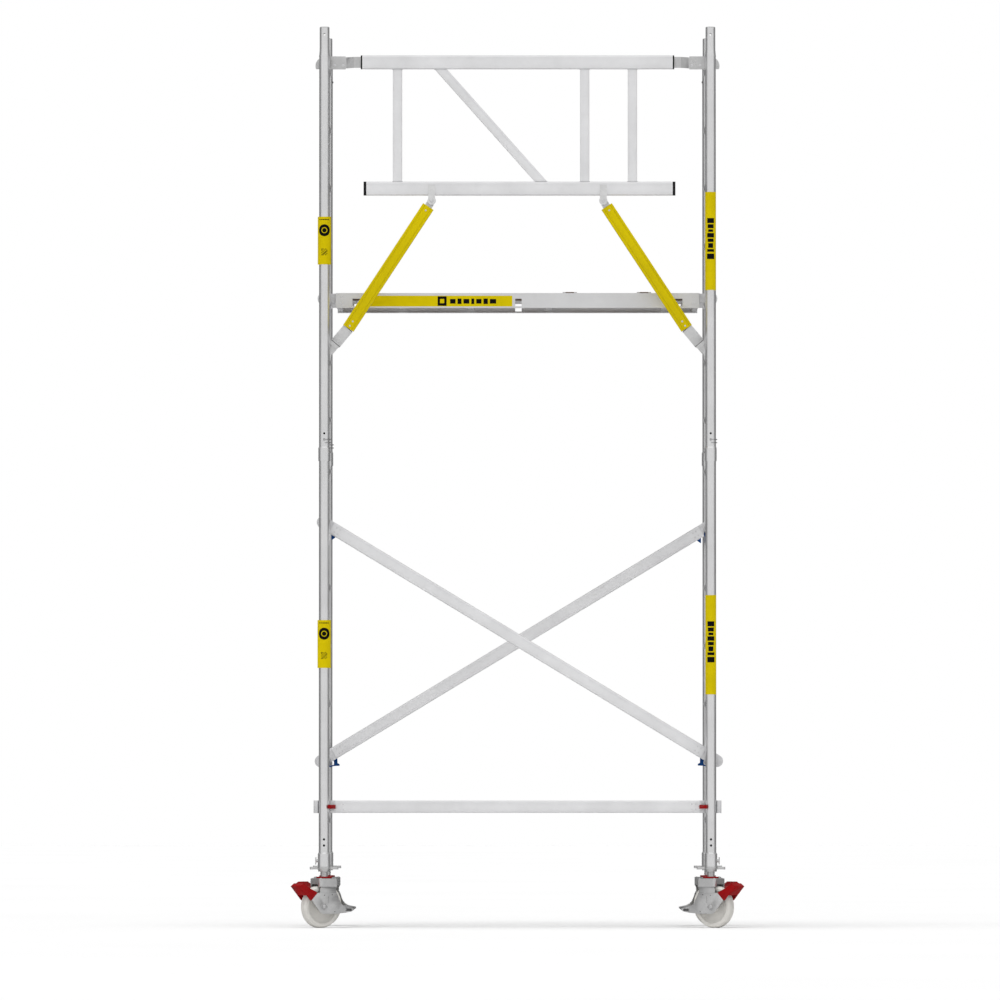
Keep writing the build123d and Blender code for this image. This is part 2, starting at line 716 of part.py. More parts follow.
def make_knuckle_straps():
    """Straps on the lower tube's front face, with a boss and pin that carry each strut."""
    front = -GUARD_Y + RAIL_DEPTH / 2
    x, z = KNUCKLE
    top = LOW_RAIL_Z + 17
    with BuildPart() as straps:
        with BuildSketch(Plane.XZ.offset(front)):
            with Locations((x, (top + z) / 2)):
                Rectangle(33, top - z)
            with Locations((x, z)):
                Circle(KNUCKLE_R)
        extrude(amount=4)
        with BuildSketch(Plane.XZ.offset(-GUARD_Y + PLATE / 2 + GAP)):
            with Locations((x, z)):
                Circle(13)
        extrude(amount=front + GUARD_Y - PLATE / 2 - GAP)
        with BuildSketch(Plane.XZ.offset(-GUARD_Y - PLATE / 2 - 6)):
            with Locations((x, z)):
                Circle(KNUCKLE_PIN_R)
        extrude(amount=20)
        mirror(about=Plane.YZ)
    keep(straps, "knuckle_straps")


# ---------------------------------------------------------------- struts
def along(start, end):
    """Plane at start with x towards end in the tower's front plane and z across that line."""
    dx = end[0] - start[0]
    dz = end[1] - start[1]
    run = hypot(dx, dz)
    origin = (start[0], GUARD_Y, start[1])
    return Plane(origin=origin, x_dir=(dx / run, 0, dz / run), z_dir=(dz / run, 0, -dx / run))


def make_struts():
    """Strut tubes and their steel fittings: a lug on the knuckle and a half shell on the rung."""
    length = hypot(STRUT_FOOT[0] - STRUT_TOP[0], STRUT_FOOT[1] - STRUT_TOP[1])
    tube = box_tube(length, STRUT_WIDTH, STRUT_DEPTH, 2.5, 4)
    lean = degrees(atan2(STRUT_FOOT[1] - STRUT_TOP[1], STRUT_FOOT[0] - STRUT_TOP[0]))
    middle = ((STRUT_TOP[0] + STRUT_FOOT[0]) / 2, GUARD_Y, (STRUT_TOP[1] + STRUT_FOOT[1]) / 2)
    with BuildPart() as left_tube:
        with Locations(Location(middle, (0, -lean, 0))):
            add(tube)
    rung = (-POST_X, STRUT_RUNG_Z)
    reach = hypot(rung[0] - STRUT_FOOT[0], rung[1] - STRUT_FOOT[1])
    swing = degrees(atan2(KNUCKLE[0] - rung[0], rung[1] - KNUCKLE[1])) - 180
    with BuildPart() as left_fittings:
        with BuildSketch(Plane.XZ.offset(-GUARD_Y - PLATE / 2)):
            with Locations(KNUCKLE):
                Circle(16)
        extrude(amount=PLATE)
        with BuildSketch(along(KNUCKLE, STRUT_TOP)):
            with Locations((38, 0)):
                Rectangle(52, PLATE)
        extrude(amount=18, both=True)
        with BuildSketch(Plane.XZ):
            with Locations(KNUCKLE):
                Circle(KNUCKLE_PIN_R + PIN_GAP)
        extrude(amount=-GUARD_Y + 20, mode=Mode.SUBTRACT)
        foot = along(STRUT_FOOT, rung)
        with BuildSketch(foot):
            with BuildLine():
                Polyline((-24, 0), (26, 0), (68, foot.to_local_coords(Vector(0, HOOK_Y, 0)).Y),
                         (reach - 26, foot.to_local_coords(Vector(0, HOOK_Y, 0)).Y))
            trace(line_width=PLATE)
        extrude(amount=22, both=True)
        with BuildSketch(Plane.XZ.offset(-HOOK_Y - 8)):
            with Locations(rung):
                Circle(32)
                Circle(RUNG_R + GAP, mode=Mode.SUBTRACT)
            with Locations(Location((rung[0], rung[1], 0), (0, 0, swing))):
                with Locations((-40 + 2, 0)):
                    Rectangle(80, 80, mode=Mode.SUBTRACT)
        extrude(amount=13)
        with BuildSketch(Plane.XZ):
            with Locations(rung):
                Circle(RUNG_R + GAP)
        extrude(amount=-GUARD_Y, mode=Mode.SUBTRACT)
    for side, name in ((False, "left"), (True, "right")):
        for piece, master in (("strut", left_tube), ("strut_fittings", left_fittings)):
            with BuildPart() as placed:
                add(master.part.mirror(Plane.YZ) if side else master.part)
            keep(placed, f"{piece}_{name}")


# ---------------------------------------------------------------- braces
CLAW_THICK = 20.0
CLAW_NOSES = {"low": 35.0, "high": 9.0}     # claw's end past the rung, along the brace
LEVER_PIN_R = 4.0
LEVER_THICK = 9.0
LEVER_Y = BRACE_DEPTH / 2 + GAP     # latch's inner face from the brace's middle plane
# Latch pivots and outlines about the rung's centre, for the low and the high end of a brace
PIVOTS = {"low": (-38.0, 16.0), "high": (-31.0, 8.0)}
LATCHES = {
    "low": [
        (-50, 26), (-29, 26), (-29, 8), (-34, -2), (-33, -15), (-9, -21), (-9, -28), (-34, -21), (-61, -20),
        (-61, -12), (-51, -7),
    ],
    "high": [
        (-41, 17), (-24, 17), (-22, 4), (-22, -8), (-9, -21), (-9, -29), (-33, -33), (-33, -64), (-39, -62),
        (-52, -53), (-44, -34), (-41, -10),
    ],
}


def brace_lean():
    return degrees(atan2(DIAGONAL_HIGH - DIAGONAL_LOW, BAY))


def make_diagonals():
    """Two crossing diagonals: front one high on the left, back one high on the right."""
    lean = brace_lean()
    length = 2 * DIAGONAL_HALF / cos(radians(lean))
    tube = box_tube(length, BRACE_HEIGHT, BRACE_DEPTH, BRACE_WALL, 8)
    middle = (DIAGONAL_HIGH + DIAGONAL_LOW) / 2
    with BuildPart() as tubes:
        with Locations(Location((0, -DIAGONAL_Y, middle), (0, lean, 0))):
            add(tube)
        with Locations(Location((0, DIAGONAL_Y, middle), (0, -lean, 0))):
            add(tube)
    keep(tubes, "diagonal_tubes")


def claw(end, axis_rise):
    """Cast claw in the XZ plane with the rung at the origin and the brace coming from -X."""
    turn = -brace_lean() if end == "low" else brace_lean()
    start = (POST_X - DIAGONAL_HALF) / cos(radians(brace_lean()))
    nose = CLAW_NOSES[end]
    with BuildPart() as cast:
        with BuildSketch(Plane.XZ.offset(-CLAW_THICK / 2)):
            with Locations(Location((0, axis_rise, 0), (0, 0, turn))):
                with Locations(((nose - start) / 2, 0)):
                    Rectangle(nose + start, BRACE_HEIGHT)
                with Locations((nose, 0)):
                    Circle(BRACE_HEIGHT / 2)
            Circle(RUNG_R + GAP, mode=Mode.SUBTRACT)
            with Locations((0, -BRACE_HEIGHT / 2)):
                Rectangle(2 * (RUNG_R + GAP), BRACE_HEIGHT, mode=Mode.SUBTRACT)
        extrude(amount=CLAW_THICK)
        with BuildSketch(Plane.XZ.offset(-CLAW_THICK / 2)):
            with Locations(PIVOTS[end]):
                Circle(LEVER_PIN_R)
        extrude(amount=-(LEVER_Y - CLAW_THICK / 2 + LEVER_THICK + 1))
    return cast.part


def lever(end):
    """Blue latch behind the claw, with a finger that closes the mouth below the rung."""
    with BuildPart() as latch:
        extrude(profile(LATCHES[end], Plane.XZ.offset(-LEVER_Y)), amount=-LEVER_THICK)
        with BuildSketch(Plane.XZ):
            with Locations(PIVOTS[end]):
                Circle(LEVER_PIN_R + PIN_GAP)
        extrude(amount=40, both=True, mode=Mode.SUBTRACT)
    return latch.part


def make_claws():
    """Four rung claws and their latches; the latches lie on the back of each brace."""
    low = DIAGONAL_LOW - LOWER_RUNGS[1]
    high = DIAGONAL_HIGH - LOWER_RUNGS[5]
    ends = [
        ("front_low", -DIAGONAL_Y, LOWER_RUNGS[1], low, False),
        ("front_high", -DIAGONAL_Y, LOWER_RUNGS[5], high, True),
        ("back_low", DIAGONAL_Y, LOWER_RUNGS[1], low, True),
        ("back_high", DIAGONAL_Y, LOWER_RUNGS[5], high, False),
    ]
    casts = []
    for name, y, z, rise, on_left in ends:
        end = name.split("_")[1]
        cast = claw(end, rise)
        latch = lever(end)
        if on_left:
            cast = cast.mirror(Plane.YZ)
            latch = latch.mirror(Plane.YZ)
        x = -POST_X if on_left else POST_X
        casts.append(cast.moved(Location((x, y, z))))
        with BuildPart() as placed:
            with Locations((x, y, z)):
                add(latch)
        keep(placed, f"diagonal_latch_{name}")
    with BuildPart() as claws:
        for cast in casts:
            add(cast)
    keep(claws, "diagonal_claws")


def make_horizontal():
    """Horizontal brace behind the front posts, its claws open to the front, with red latches."""
    tube = box_tube(2 * BRACE_HALF, BRACE_HEIGHT, BRACE_DEPTH, BRACE_WALL, 8)
    with BuildPart() as brace:
        with Locations((0, HORIZONTAL_Y, HORIZONTAL_Z)):
            add(tube)
    keep(brace, "horizontal_tube")
    pivot = (-49.0, 12.0)       # from the post's centre, for the right-hand end
    grip = POST_R + GAP
    with BuildPart() as claws:
        with BuildSketch(Plane.XY.offset(HORIZONTAL_Z - 30)):
            with Locations((POST_X, -POST_Y)):
                with Locations((-2, 32)):
                    Rectangle(104, 26)
                with Locations((38.5, 22)):
                    RectangleRounded(23, 46, 8)
                Circle(grip, mode=Mode.SUBTRACT)
        extrude(amount=60)
        for z in (HORIZONTAL_Z - 15, HORIZONTAL_Z + 9.3):
            with BuildSketch(Plane.XY.offset(z)):
                with Locations((POST_X + pivot[0], -POST_Y + pivot[1])):
                    Rectangle(9.6, 18)
            extrude(amount=5.7)
        with BuildSketch(Plane.XY.offset(HORIZONTAL_Z - 12)):
            with Locations((POST_X + pivot[0], -POST_Y + pivot[1])):
                Circle(LATCH_PIN_R)
        extrude(amount=24)
        mirror(about=Plane.YZ)
    keep(claws, "horizontal_claws")
    latch = [(-52, 16.6), (-46, 16.6), (-42, 11), (-31, -3), (-18, -22), (-22, -29), (-53, 2), (-55, 9)]
    outline = [(POST_X + x, y - POST_Y) for x, y in latch]
    with BuildPart() as right:
        extrude(profile(outline, Plane.XY.offset(HORIZONTAL_Z - 9)), amount=18)
        with BuildSketch(Plane.XY.offset(HORIZONTAL_Z - 9)):
            with Locations((POST_X + pivot[0], -POST_Y + pivot[1])):
                Circle(LATCH_PIN_R + PIN_GAP)
        extrude(amount=18, mode=Mode.SUBTRACT)
    keep(right, "horizontal_latch_right")
    with BuildPart() as left:
        add(right.part.mirror(Plane.YZ))
    keep(left, "horizontal_latch_left")


# ---------------------------------------------------------------- the whole tower
make_posts("lower_posts", FRAME_FOOT, LOWER_BELL_OD)
make_posts("upper_posts", UPPER_FOOT, UPPER_BELL_OD)
make_rungs("lower_rungs", LOWER_RUNGS)
make_rungs("upper_rungs", UPPER_RUNGS)
make_spigots()
make_interlock_clips()
make_leg_locks()
make_castors()
make_side_beams()
make_cross_beams()
make_platform_hooks()
make_deck()
make_hatch()
make_guard_tubes()
make_guard_uprights()
make_guard_caps()
make_guard_brackets()
make_knuckle_straps()
make_struts()
make_diagonals()
make_claws()
make_horizontal()
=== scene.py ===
"""Looks of the mobile tower scaffold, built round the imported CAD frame. Metres, +Z up."""
import json
import math

import bmesh
import bpy
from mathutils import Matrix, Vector


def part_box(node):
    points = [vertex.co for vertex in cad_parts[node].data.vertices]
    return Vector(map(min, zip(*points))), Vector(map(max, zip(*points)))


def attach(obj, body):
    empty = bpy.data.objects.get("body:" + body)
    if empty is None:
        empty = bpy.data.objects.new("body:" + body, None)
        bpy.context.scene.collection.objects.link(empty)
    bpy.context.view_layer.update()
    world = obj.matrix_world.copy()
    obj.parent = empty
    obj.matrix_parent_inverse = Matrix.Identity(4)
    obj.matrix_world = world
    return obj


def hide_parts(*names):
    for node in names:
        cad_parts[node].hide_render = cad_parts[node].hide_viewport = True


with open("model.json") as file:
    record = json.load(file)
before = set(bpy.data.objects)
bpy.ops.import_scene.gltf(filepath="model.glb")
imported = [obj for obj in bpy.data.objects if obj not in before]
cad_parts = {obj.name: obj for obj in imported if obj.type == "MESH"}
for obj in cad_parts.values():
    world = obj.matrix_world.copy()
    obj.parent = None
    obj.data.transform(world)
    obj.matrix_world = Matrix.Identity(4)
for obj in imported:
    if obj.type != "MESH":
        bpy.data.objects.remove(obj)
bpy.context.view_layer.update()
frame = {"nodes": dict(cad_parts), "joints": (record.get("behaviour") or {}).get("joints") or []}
NODES = frame["nodes"]
MM = 0.001
SHARP_ANGLE = math.radians(40)          # steeper edges than this stay sharp
FILM = 0.12 * MM                        # thickness of a printed film
FILM_STEP = 2.5 * MM                    # how finely a film follows a curved face

# centre of the leg at each corner
CORNERS = {
    corner: sum((Vector(c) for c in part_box(f"spindle_{corner}")), Vector()) / 2
    for corner in ("front_left", "front_right", "back_left", "back_right")
}
POST_X = CORNERS["front_right"].x
POST_Y = CORNERS["back_left"].y
POST_R = 25.4 * MM
POSTS = [(c.x, c.y) for c in CORNERS.values()]

# ---------------------------------------------------------------- materials


class Recipe:
    """A small helper that wires one Principled material."""

    def __init__(self, name):
        self.material = bpy.data.materials.new(name)
        self.material.use_nodes = True
        self.tree = self.material.node_tree
        self.shader = self.tree.nodes["Principled BSDF"]
        self.coords = self.tree.nodes.new("ShaderNodeTexCoord").outputs["Object"]

    def set(self, **values):
        """Constants on the shader's sockets; specular_ior_level, say, is Specular IOR Level."""
        for key, value in values.items():
            self.shader.inputs[key.replace("_", " ").title().replace("Ior", "IOR")].default_value = value

    def node(self, kind, **inputs):
        made = self.tree.nodes.new(kind)
        for key, value in inputs.items():
            made.inputs[key].default_value = value
        return made

    def link(self, out, into):
        self.tree.links.new(out, into)

    def stretched(self, scale):
        """Object coordinates, scaled along each axis."""
        mapping = self.node("ShaderNodeMapping")
        mapping.inputs["Scale"].default_value = scale
        self.link(self.coords, mapping.inputs["Vector"])
        return mapping.outputs["Vector"]

    def noise(self, scale, *, stretch=(1, 1, 1), detail=4.0, rough=0.6):
        made = self.node("ShaderNodeTexNoise", Scale=scale, Detail=detail, Roughness=rough)
        self.link(self.stretched(stretch), made.inputs["Vector"])
        return made.outputs["Fac"]

    def ramp(self, fac, stops):
        """A colour ramp; a stop is its place and a colour, or a single grey."""
        made = self.tree.nodes.new("ShaderNodeValToRGB")
        bar = made.color_ramp
        while len(bar.elements) < len(stops):
            bar.elements.new(0.5)
        for element, (place, colour) in zip(bar.elements, stops):
            element.position = place
            element.color = (*colour, 1) if len(colour) == 3 else (colour[0],) * 3 + (1,)
        self.link(fac, made.inputs["Fac"])
        return made.outputs["Color"]

    def mix(self, fac, a, b):
        """From a to b by fac, each a socket, a number or a colour."""
        made = self.tree.nodes.new("ShaderNodeMix")
        made.data_type = "RGBA"
        for value, socket in ((fac, made.inputs["Factor"]), (a, made.inputs[6]), (b, made.inputs[7])):
            if isinstance(value, (int, float)):
                socket.default_value = value
            elif isinstance(value, tuple):
                socket.default_value = (*value, 1)
            else:
                self.link(value, socket)
        return made.outputs[2]

    def add_height(self, *heights):
        """Sum of several (value, weight) pairs, as one height."""
        total = None
        for value, weight in heights:
            scaled = self.node("ShaderNodeMath")
            scaled.operation = "MULTIPLY"
            self.link(value, scaled.inputs[0])
            scaled.inputs[1].default_value = weight
            if total is None:
                total = scaled.outputs[0]
                continue
            joined = self.node("ShaderNodeMath")
            joined.operation = "ADD"
            self.link(total, joined.inputs[0])
            self.link(scaled.outputs[0], joined.inputs[1])
            total = joined.outputs[0]
        return total

    def bump(self, height, strength, distance):
        made = self.node("ShaderNodeBump", Strength=strength, Distance=distance)
        self.link(height, made.inputs["Height"])
        self.link(made.outputs["Normal"], self.shader.inputs["Normal"])

    def colour(self, out):
        self.link(out, self.shader.inputs["Base Color"])

    def roughness(self, out):
        self.link(out, self.shader.inputs["Roughness"])


def tinted(colour, factor):
    """A colour made darker or lighter."""
    return tuple(min(1.0, c * factor) for c in colour)


def drawn_metal(name, colour, *, along, rough=0.42, metallic=0.75, bite=0.12):
    """Extruded or drawn aluminium: fine lines along the tube, faint cloudy tarnish."""
    recipe = Recipe(name)
    stretch = [900, 900, 900]
    stretch["XYZ".index(along)] = 9
    lines = recipe.noise(1.0, stretch=tuple(stretch), detail=3)
    clouds = recipe.noise(7.0, detail=5)
    specks = recipe.noise(160.0, detail=2)
    base = recipe.ramp(clouds, [(0.3, tinted(colour, 0.93)), (0.7, tinted(colour, 1.03))])
    spots = recipe.ramp(specks, [(0.70, (0.0,)), (0.78, (0.35,))])
    recipe.colour(recipe.mix(spots, base, tinted(colour, 0.72)))
    recipe.roughness(recipe.ramp(lines, [(0.25, (rough - 0.08,)), (0.75, (rough + 0.10,))]))
    recipe.bump(recipe.add_height((lines, 0.6), (clouds, 0.4)), bite, 0.0004)
    recipe.set(metallic=metallic)
    return recipe.material


def cast_metal(name, colour, *, rough=0.5, metallic=0.8):
    """Zinc-plated pressings and cast claws: spangle, small pits, darker in patches."""
    recipe = Recipe(name)
    cells = recipe.node("ShaderNodeTexVoronoi", Scale=120.0)
    recipe.link(recipe.coords, cells.inputs["Vector"])
    shades = [(0.2, tinted(colour, 0.96)), (0.8, tinted(colour, 1.03))]
    spangle = recipe.ramp(cells.outputs["Color"], shades)
    clouds = recipe.noise(22.0, detail=6)
    patches = recipe.ramp(clouds, [(0.45, (0.0,)), (0.75, (0.35,))])
    recipe.colour(recipe.mix(patches, spangle, tinted(colour, 0.86)))
    grain = recipe.noise(420.0, detail=3)
    recipe.roughness(recipe.ramp(clouds, [(0.3, (rough - 0.1,)), (0.75, (rough + 0.12,))]))
    recipe.bump(recipe.add_height((grain, 0.5), (clouds, 0.5)), 0.18, 0.0004)
    recipe.set(metallic=metallic)
    return recipe.material


def moulded(name, colour, *, rough=0.38, grain=900.0, deep=0.8, shine=0.5):
    """Moulded plastic or printed film, with a fine grain and slight colour drift."""
    recipe = Recipe(name)
    drift = recipe.noise(9.0, detail=4)
    recipe.colour(recipe.ramp(drift, [(0.3, tinted(colour, deep)), (0.7, tinted(colour, 1.12))]))
    fine = recipe.noise(grain, detail=2)
    recipe.roughness(recipe.ramp(drift, [(0.3, (rough - 0.06,)), (0.75, (rough + 0.12,))]))
    recipe.bump(fine, 0.10, 0.0003)
    recipe.set(specular_ior_level=shine)
    return recipe.material


def powder_coat(name, colour, *, rough=0.36):
    """Powder coating: orange peel and slight pooling of colour."""
    recipe = Recipe(name)
    peel = recipe.noise(520.0, detail=2)
    drift = recipe.noise(5.0, detail=4)
    recipe.colour(recipe.ramp(drift, [(0.3, tinted(colour, 0.93)), (0.7, tinted(colour, 1.05))]))
    recipe.roughness(recipe.ramp(peel, [(0.3, (rough - 0.06,)), (0.7, (rough + 0.08,))]))
    recipe.bump(peel, 0.14, 0.0004)
    recipe.set(specular_ior_level=0.06)
    return recipe.material


def phenolic_ply(name, colour):
    """Dark film-faced plywood with the pressed wire-mesh pattern on its faces."""
    recipe = Recipe(name)
    wires = []
    for coords in (recipe.coords, recipe.stretched((1, -1, 1))):
        wave = recipe.node("ShaderNodeTexWave", Scale=70.0, Distortion=0.0)
        wave.bands_direction = "DIAGONAL"
        recipe.link(coords, wave.inputs["Vector"])
        wires.append(wave.outputs["Fac"])
    drift = recipe.noise(6.0, detail=6)
    base = recipe.ramp(drift, [(0.3, tinted(colour, 0.7)), (0.72, tinted(colour, 1.3))])
    worn = recipe.ramp(wires[0], [(0.6, (0.0,)), (0.9, (0.3,))])
    recipe.colour(recipe.mix(worn, base, tinted(colour, 1.7)))
    recipe.roughness(recipe.ramp(drift, [(0.3, (0.42,)), (0.75, (0.6,))]))
    recipe.bump(recipe.add_height((wires[0], 0.5), (wires[1], 0.5)), 0.5, 0.0008)
    return recipe.material


ALU = (0.93, 0.93, 0.935)
PALE_ALU = (0.83, 0.83, 0.84)
ZINC = (0.66, 0.66, 0.66)
YELLOW = (0.60, 0.475, 0.001)
FILM_YELLOW = (0.59, 0.465, 0.001)

MATERIALS = {
    "post_metal": drawn_metal("post_metal", ALU, along="Z", rough=0.3, metallic=0.95),
    "rung_metal": drawn_metal("rung_metal", ALU, along="Y", rough=0.34, metallic=0.9),
    "rail_metal": drawn_metal("rail_metal", PALE_ALU, along="X", rough=0.5, metallic=0.45),
    "brace_metal": drawn_metal("brace_metal", PALE_ALU, along="X", rough=0.5, metallic=0.45, bite=0.02),
    "beam_metal": drawn_metal("beam_metal", (0.76, 0.76, 0.765), along="X", rough=0.46, metallic=0.6),
    "cast_claw": cast_metal("cast_claw", (0.74, 0.74, 0.75), rough=0.5, metallic=0.6),
    "zinc": cast_metal("zinc", ZINC, rough=0.34, metallic=0.85),
    "spring_wire": cast_metal("spring_wire", (0.55, 0.55, 0.56), rough=0.3, metallic=1.0),
    "nylon": moulded("nylon", (0.66, 0.645, 0.61), rough=0.5, grain=300.0, deep=0.93, shine=0.2),
    "red": moulded("red", (0.27, 0.0006, 0.0018), rough=0.3, deep=0.9, shine=0.16),
    "blue": moulded("blue", (0.002, 0.05, 0.20), rough=0.35, shine=0.12),
    "black": moulded("black", (0.010, 0.010, 0.011), rough=0.45, shine=0.15),
    "film_yellow": moulded("film_yellow", FILM_YELLOW, rough=0.4, grain=1400.0, deep=0.96, shine=0.04),
    "film_black": moulded("film_black", (0.004, 0.004, 0.004), rough=0.5, grain=1400.0, shine=0.05),
    "weld_metal": cast_metal("weld_metal", (0.72, 0.72, 0.73), rough=0.38, metallic=0.85),
    "pale_zinc": cast_metal("pale_zinc", (0.74, 0.74, 0.74), rough=0.5, metallic=0.5),
    "bright_zinc": cast_metal("bright_zinc", (0.80, 0.80, 0.81), rough=0.3, metallic=0.9),
    "yellow": powder_coat("yellow", YELLOW),
    "grey_rubber": moulded("grey_rubber", (0.09, 0.09, 0.09), rough=0.5, shine=0.2),
    "fitting_metal": cast_metal("fitting_metal", (0.72, 0.72, 0.72), rough=0.34, metallic=0.7),
    "ply": phenolic_ply("ply", (0.10, 0.055, 0.032)),
}


# material of a CAD node, by the start of its name; the rest are zinc
FINISHES = (
    (("lower_posts", "upper_posts", "joint_spigots"), "post_metal"),
    (("lower_rungs", "upper_rungs"), "rung_metal"),
    (("guardrail_rails", "horizontal_tube"), "rail_metal"),
    (("guardrail_uprights", "diagonal_tubes"), "brace_metal"),
    (("knuckle_straps",), "pale_zinc"),
    (("strut_fittings",), "fitting_metal"),
    (("platform_side", "platform_cross"), "beam_metal"),
    (("diagonal_claws", "horizontal_claws", "platform_hooks"), "cast_claw"),
    (("interlock_clips",), "spring_wire"),
    (("wheel_",), "nylon"),
    (("brake_pedal", "cover_ring", "horizontal_latch"), "red"),
    (("diagonal_latch",), "blue"),
    (("guardrail_end_caps",), "black"),
    (("strut_left", "strut_right"), "yellow"),
    (("platform_deck", "hatch_lid"), "ply"),
)


def finish_of(node):
    """The material of a carried-over CAD node."""
    for starts, material in FINISHES:
        if node.startswith(starts):
            return MATERIALS[material]
    return MATERIALS["zinc"]


for name, obj in NODES.items():
    obj.data.materials.clear()
    obj.data.materials.append(finish_of(name))


def round_shading(mesh):
    """Smooth shading, with creases at the sharp edges."""
    mesh.shade_smooth()
    mesh.set_sharp_from_angle(angle=SHARP_ANGLE)


def new_piece(name, form, material, body):
    """Turn a finished bmesh into a piece that rides on a body."""
    bmesh.ops.recalc_face_normals(form, faces=form.faces)
    mesh = bpy.data.meshes.new(name)
    form.to_mesh(mesh)
    form.free()
    mesh.materials.append(MATERIALS[material])
    piece = bpy.data.objects.new(name, mesh)
    bpy.context.collection.objects.link(piece)
    round_shading(mesh)
    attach(piece, body)
    return piece


def circle(count):
    """Angles of evenly spaced points round a circle."""
    return [2 * math.pi * k / count for k in range(count)]


def join_rings(form, rings, *, closed):
    """Quads between rings of vertices; closed also joins the last ring to the first."""
    count = len(rings[0])
    pairs = list(zip(rings, rings[1:]))
    if closed:
        pairs.append((rings[-1], rings[0]))
    for first, second in pairs:
        for i in range(count):
            j = (i + 1) % count
            form.faces.new((first[i], first[j], second[j], second[i]))
    if not closed:
        form.faces.new(rings[0])
        form.faces.new(rings[-1])


def bead(form, line, outward, radius, *, ripple=0.0, closed=True):
    """A six-sided bead along a line of points; ripple makes every other ring larger, as on a weld."""
    rings = []
    last = len(line) - 1
    for i, (point, side) in enumerate(zip(line, outward)):
        ahead = line[(i + 1) % len(line)] if closed else line[min(i + 1, last)]
        behind = line[i - 1] if closed else line[max(i - 1, 0)]
        run = (ahead - behind).normalized()
        across = (side - run * side.dot(run)).normalized()
        up = run.cross(across)
        size = radius * (1 + ripple * (i % 2))
        ring = [point + (across * math.cos(a) + up * math.sin(a)) * size for a in circle(6)]
        rings.append([form.verts.new(place) for place in ring])
    join_rings(form, rings, closed=closed)


def dome(form, place, normal, radius, height, *, steps=3, sides=12):
    """A rivet or bolt head: a short wall and a low dome on a face."""
    normal = normal.normalized()
    across = normal.orthogonal().normalized()
    up = normal.cross(across)
    rings = []
    for k in range(-1, steps + 1):
        tilt = max(k, 0) / (steps + 1) * math.pi / 2
        reach = radius * math.cos(tilt)
        rise = (0.35 + 0.65 * math.sin(tilt)) * height if k >= 0 else -0.05 * height
        ring = [normal * rise + (across * math.cos(a) + up * math.sin(a)) * reach for a in circle(sides)]
        rings.append([form.verts.new(place + offset) for offset in ring])
    join_rings(form, rings, closed=False)


def hex_head(form, place, normal, radius, height):
    """A hexagon bolt head with a small washer under it."""
    dome(form, place, normal, radius * 1.45, height * 0.3, steps=1, sides=20)
    normal = normal.normalized()
    across = normal.orthogonal().normalized()
    up = normal.cross(across)
    rings = []
    for rise, reach in ((0.2, 1.0), (0.85, 1.0), (1.0, 0.86)):
        ring = [(across * math.cos(a) + up * math.sin(a)) * radius * reach for a in circle(6)]
        rings.append([form.verts.new(place + normal * rise * height + offset) for offset in ring])
    join_rings(form, rings, closed=False)


def patch(form, width, height, s, z, place, lift, *, step=FILM_STEP):
    """A thin oblong film that follows a surface; place(s, z, lift) is a point on that surface."""
    count = max(2, math.ceil(width / step))
    columns = []
    for i in range(count + 1):
        across = s - width / 2 + width * i / count
        top, foot = height / 2, -height / 2
        corners = ((top, lift), (foot, lift), (foot, lift - FILM), (top, lift - FILM))
        columns.append([form.verts.new(place(across, z + rise, out)) for rise, out in corners])
    join_rings(form, columns, closed=False)


def disc(form, radius, s, z, place, lift):
    """A thin round film that follows a surface."""
    count = math.ceil(radius / FILM_STEP)
    reaches = [(radius * (i + 0.01) / (count + 0.01), lift) for i in range(count + 1)]
    reaches.append((radius, lift - FILM))
    reaches.append((radius * 0.01, lift - FILM))
    rings = []
    for reach, out in reaches:
        ring = [place(s + reach * math.cos(a), z + reach * math.sin(a), out) for a in circle(36)]
        rings.append([form.verts.new(point) for point in ring])
    join_rings(form, rings, closed=False)


# ---------------------------------------------------------------- what the frame says
RUNG_COUNT = 7               # in one end frame
RUNG_R = 19.0 * MM
JOINTS = {joint["name"]: joint for joint in frame["joints"]}
FORWARD = Vector((0, -1, 0))
BACK = Vector((0, 1, 0))
UP = Vector((0, 0, 1))


def rung_heights(node):
    """Heights of the seven rungs in one of the rung nodes."""
    low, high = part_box(node)
    first = low.z + RUNG_R
    pitch = (high.z - low.z - 2 * RUNG_R) / (RUNG_COUNT - 1)
    return [first + pitch * i for i in range(RUNG_COUNT)]


def tube_axis(node, width):
    """Middle, lean and half length of an inclined tube, worked out from the box it fills."""
    low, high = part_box(node)
    lean = math.atan2(high.z - low.z, high.x - low.x)
    for _ in range(8):                  # each round takes off the tube's own width with a better lean
        run = high.x - low.x - width * math.sin(lean)
        rise = high.z - low.z - width * math.cos(lean)
        lean = math.atan2(rise, run)
    return (low + high) / 2, lean, math.hypot(run, rise) / 2


class Castor:
    """Places in a castor's own frame: u towards the pedal, v across the wheel, z up."""

    def __init__(self, corner):
        self.v = Vector(JOINTS[f"wheel_spin_{corner}"]["axis"])
        self.u = Vector((self.v.y, -self.v.x, 0))
        self.origin = Vector((CORNERS[corner].x, CORNERS[corner].y, 0))

    def at(self, u, v, z):
        """A point given in millimetres."""
        return self.origin + (self.u * u + self.v * v + UP * z) * MM


CASTORS = {corner: Castor(corner) for corner in CORNERS}

# ---------------------------------------------------------------- end frames
WELD_RIPPLE = 0.22
RUNG_WELD_R = 2.6 * MM
PIN_HOLES = (101 * MM, 130 * MM)        # above a frame's foot; a clip's pin fills the upper frames' first
TOP_HOLE = 72 * MM                      # below the top edge of the back posts, on their inner side


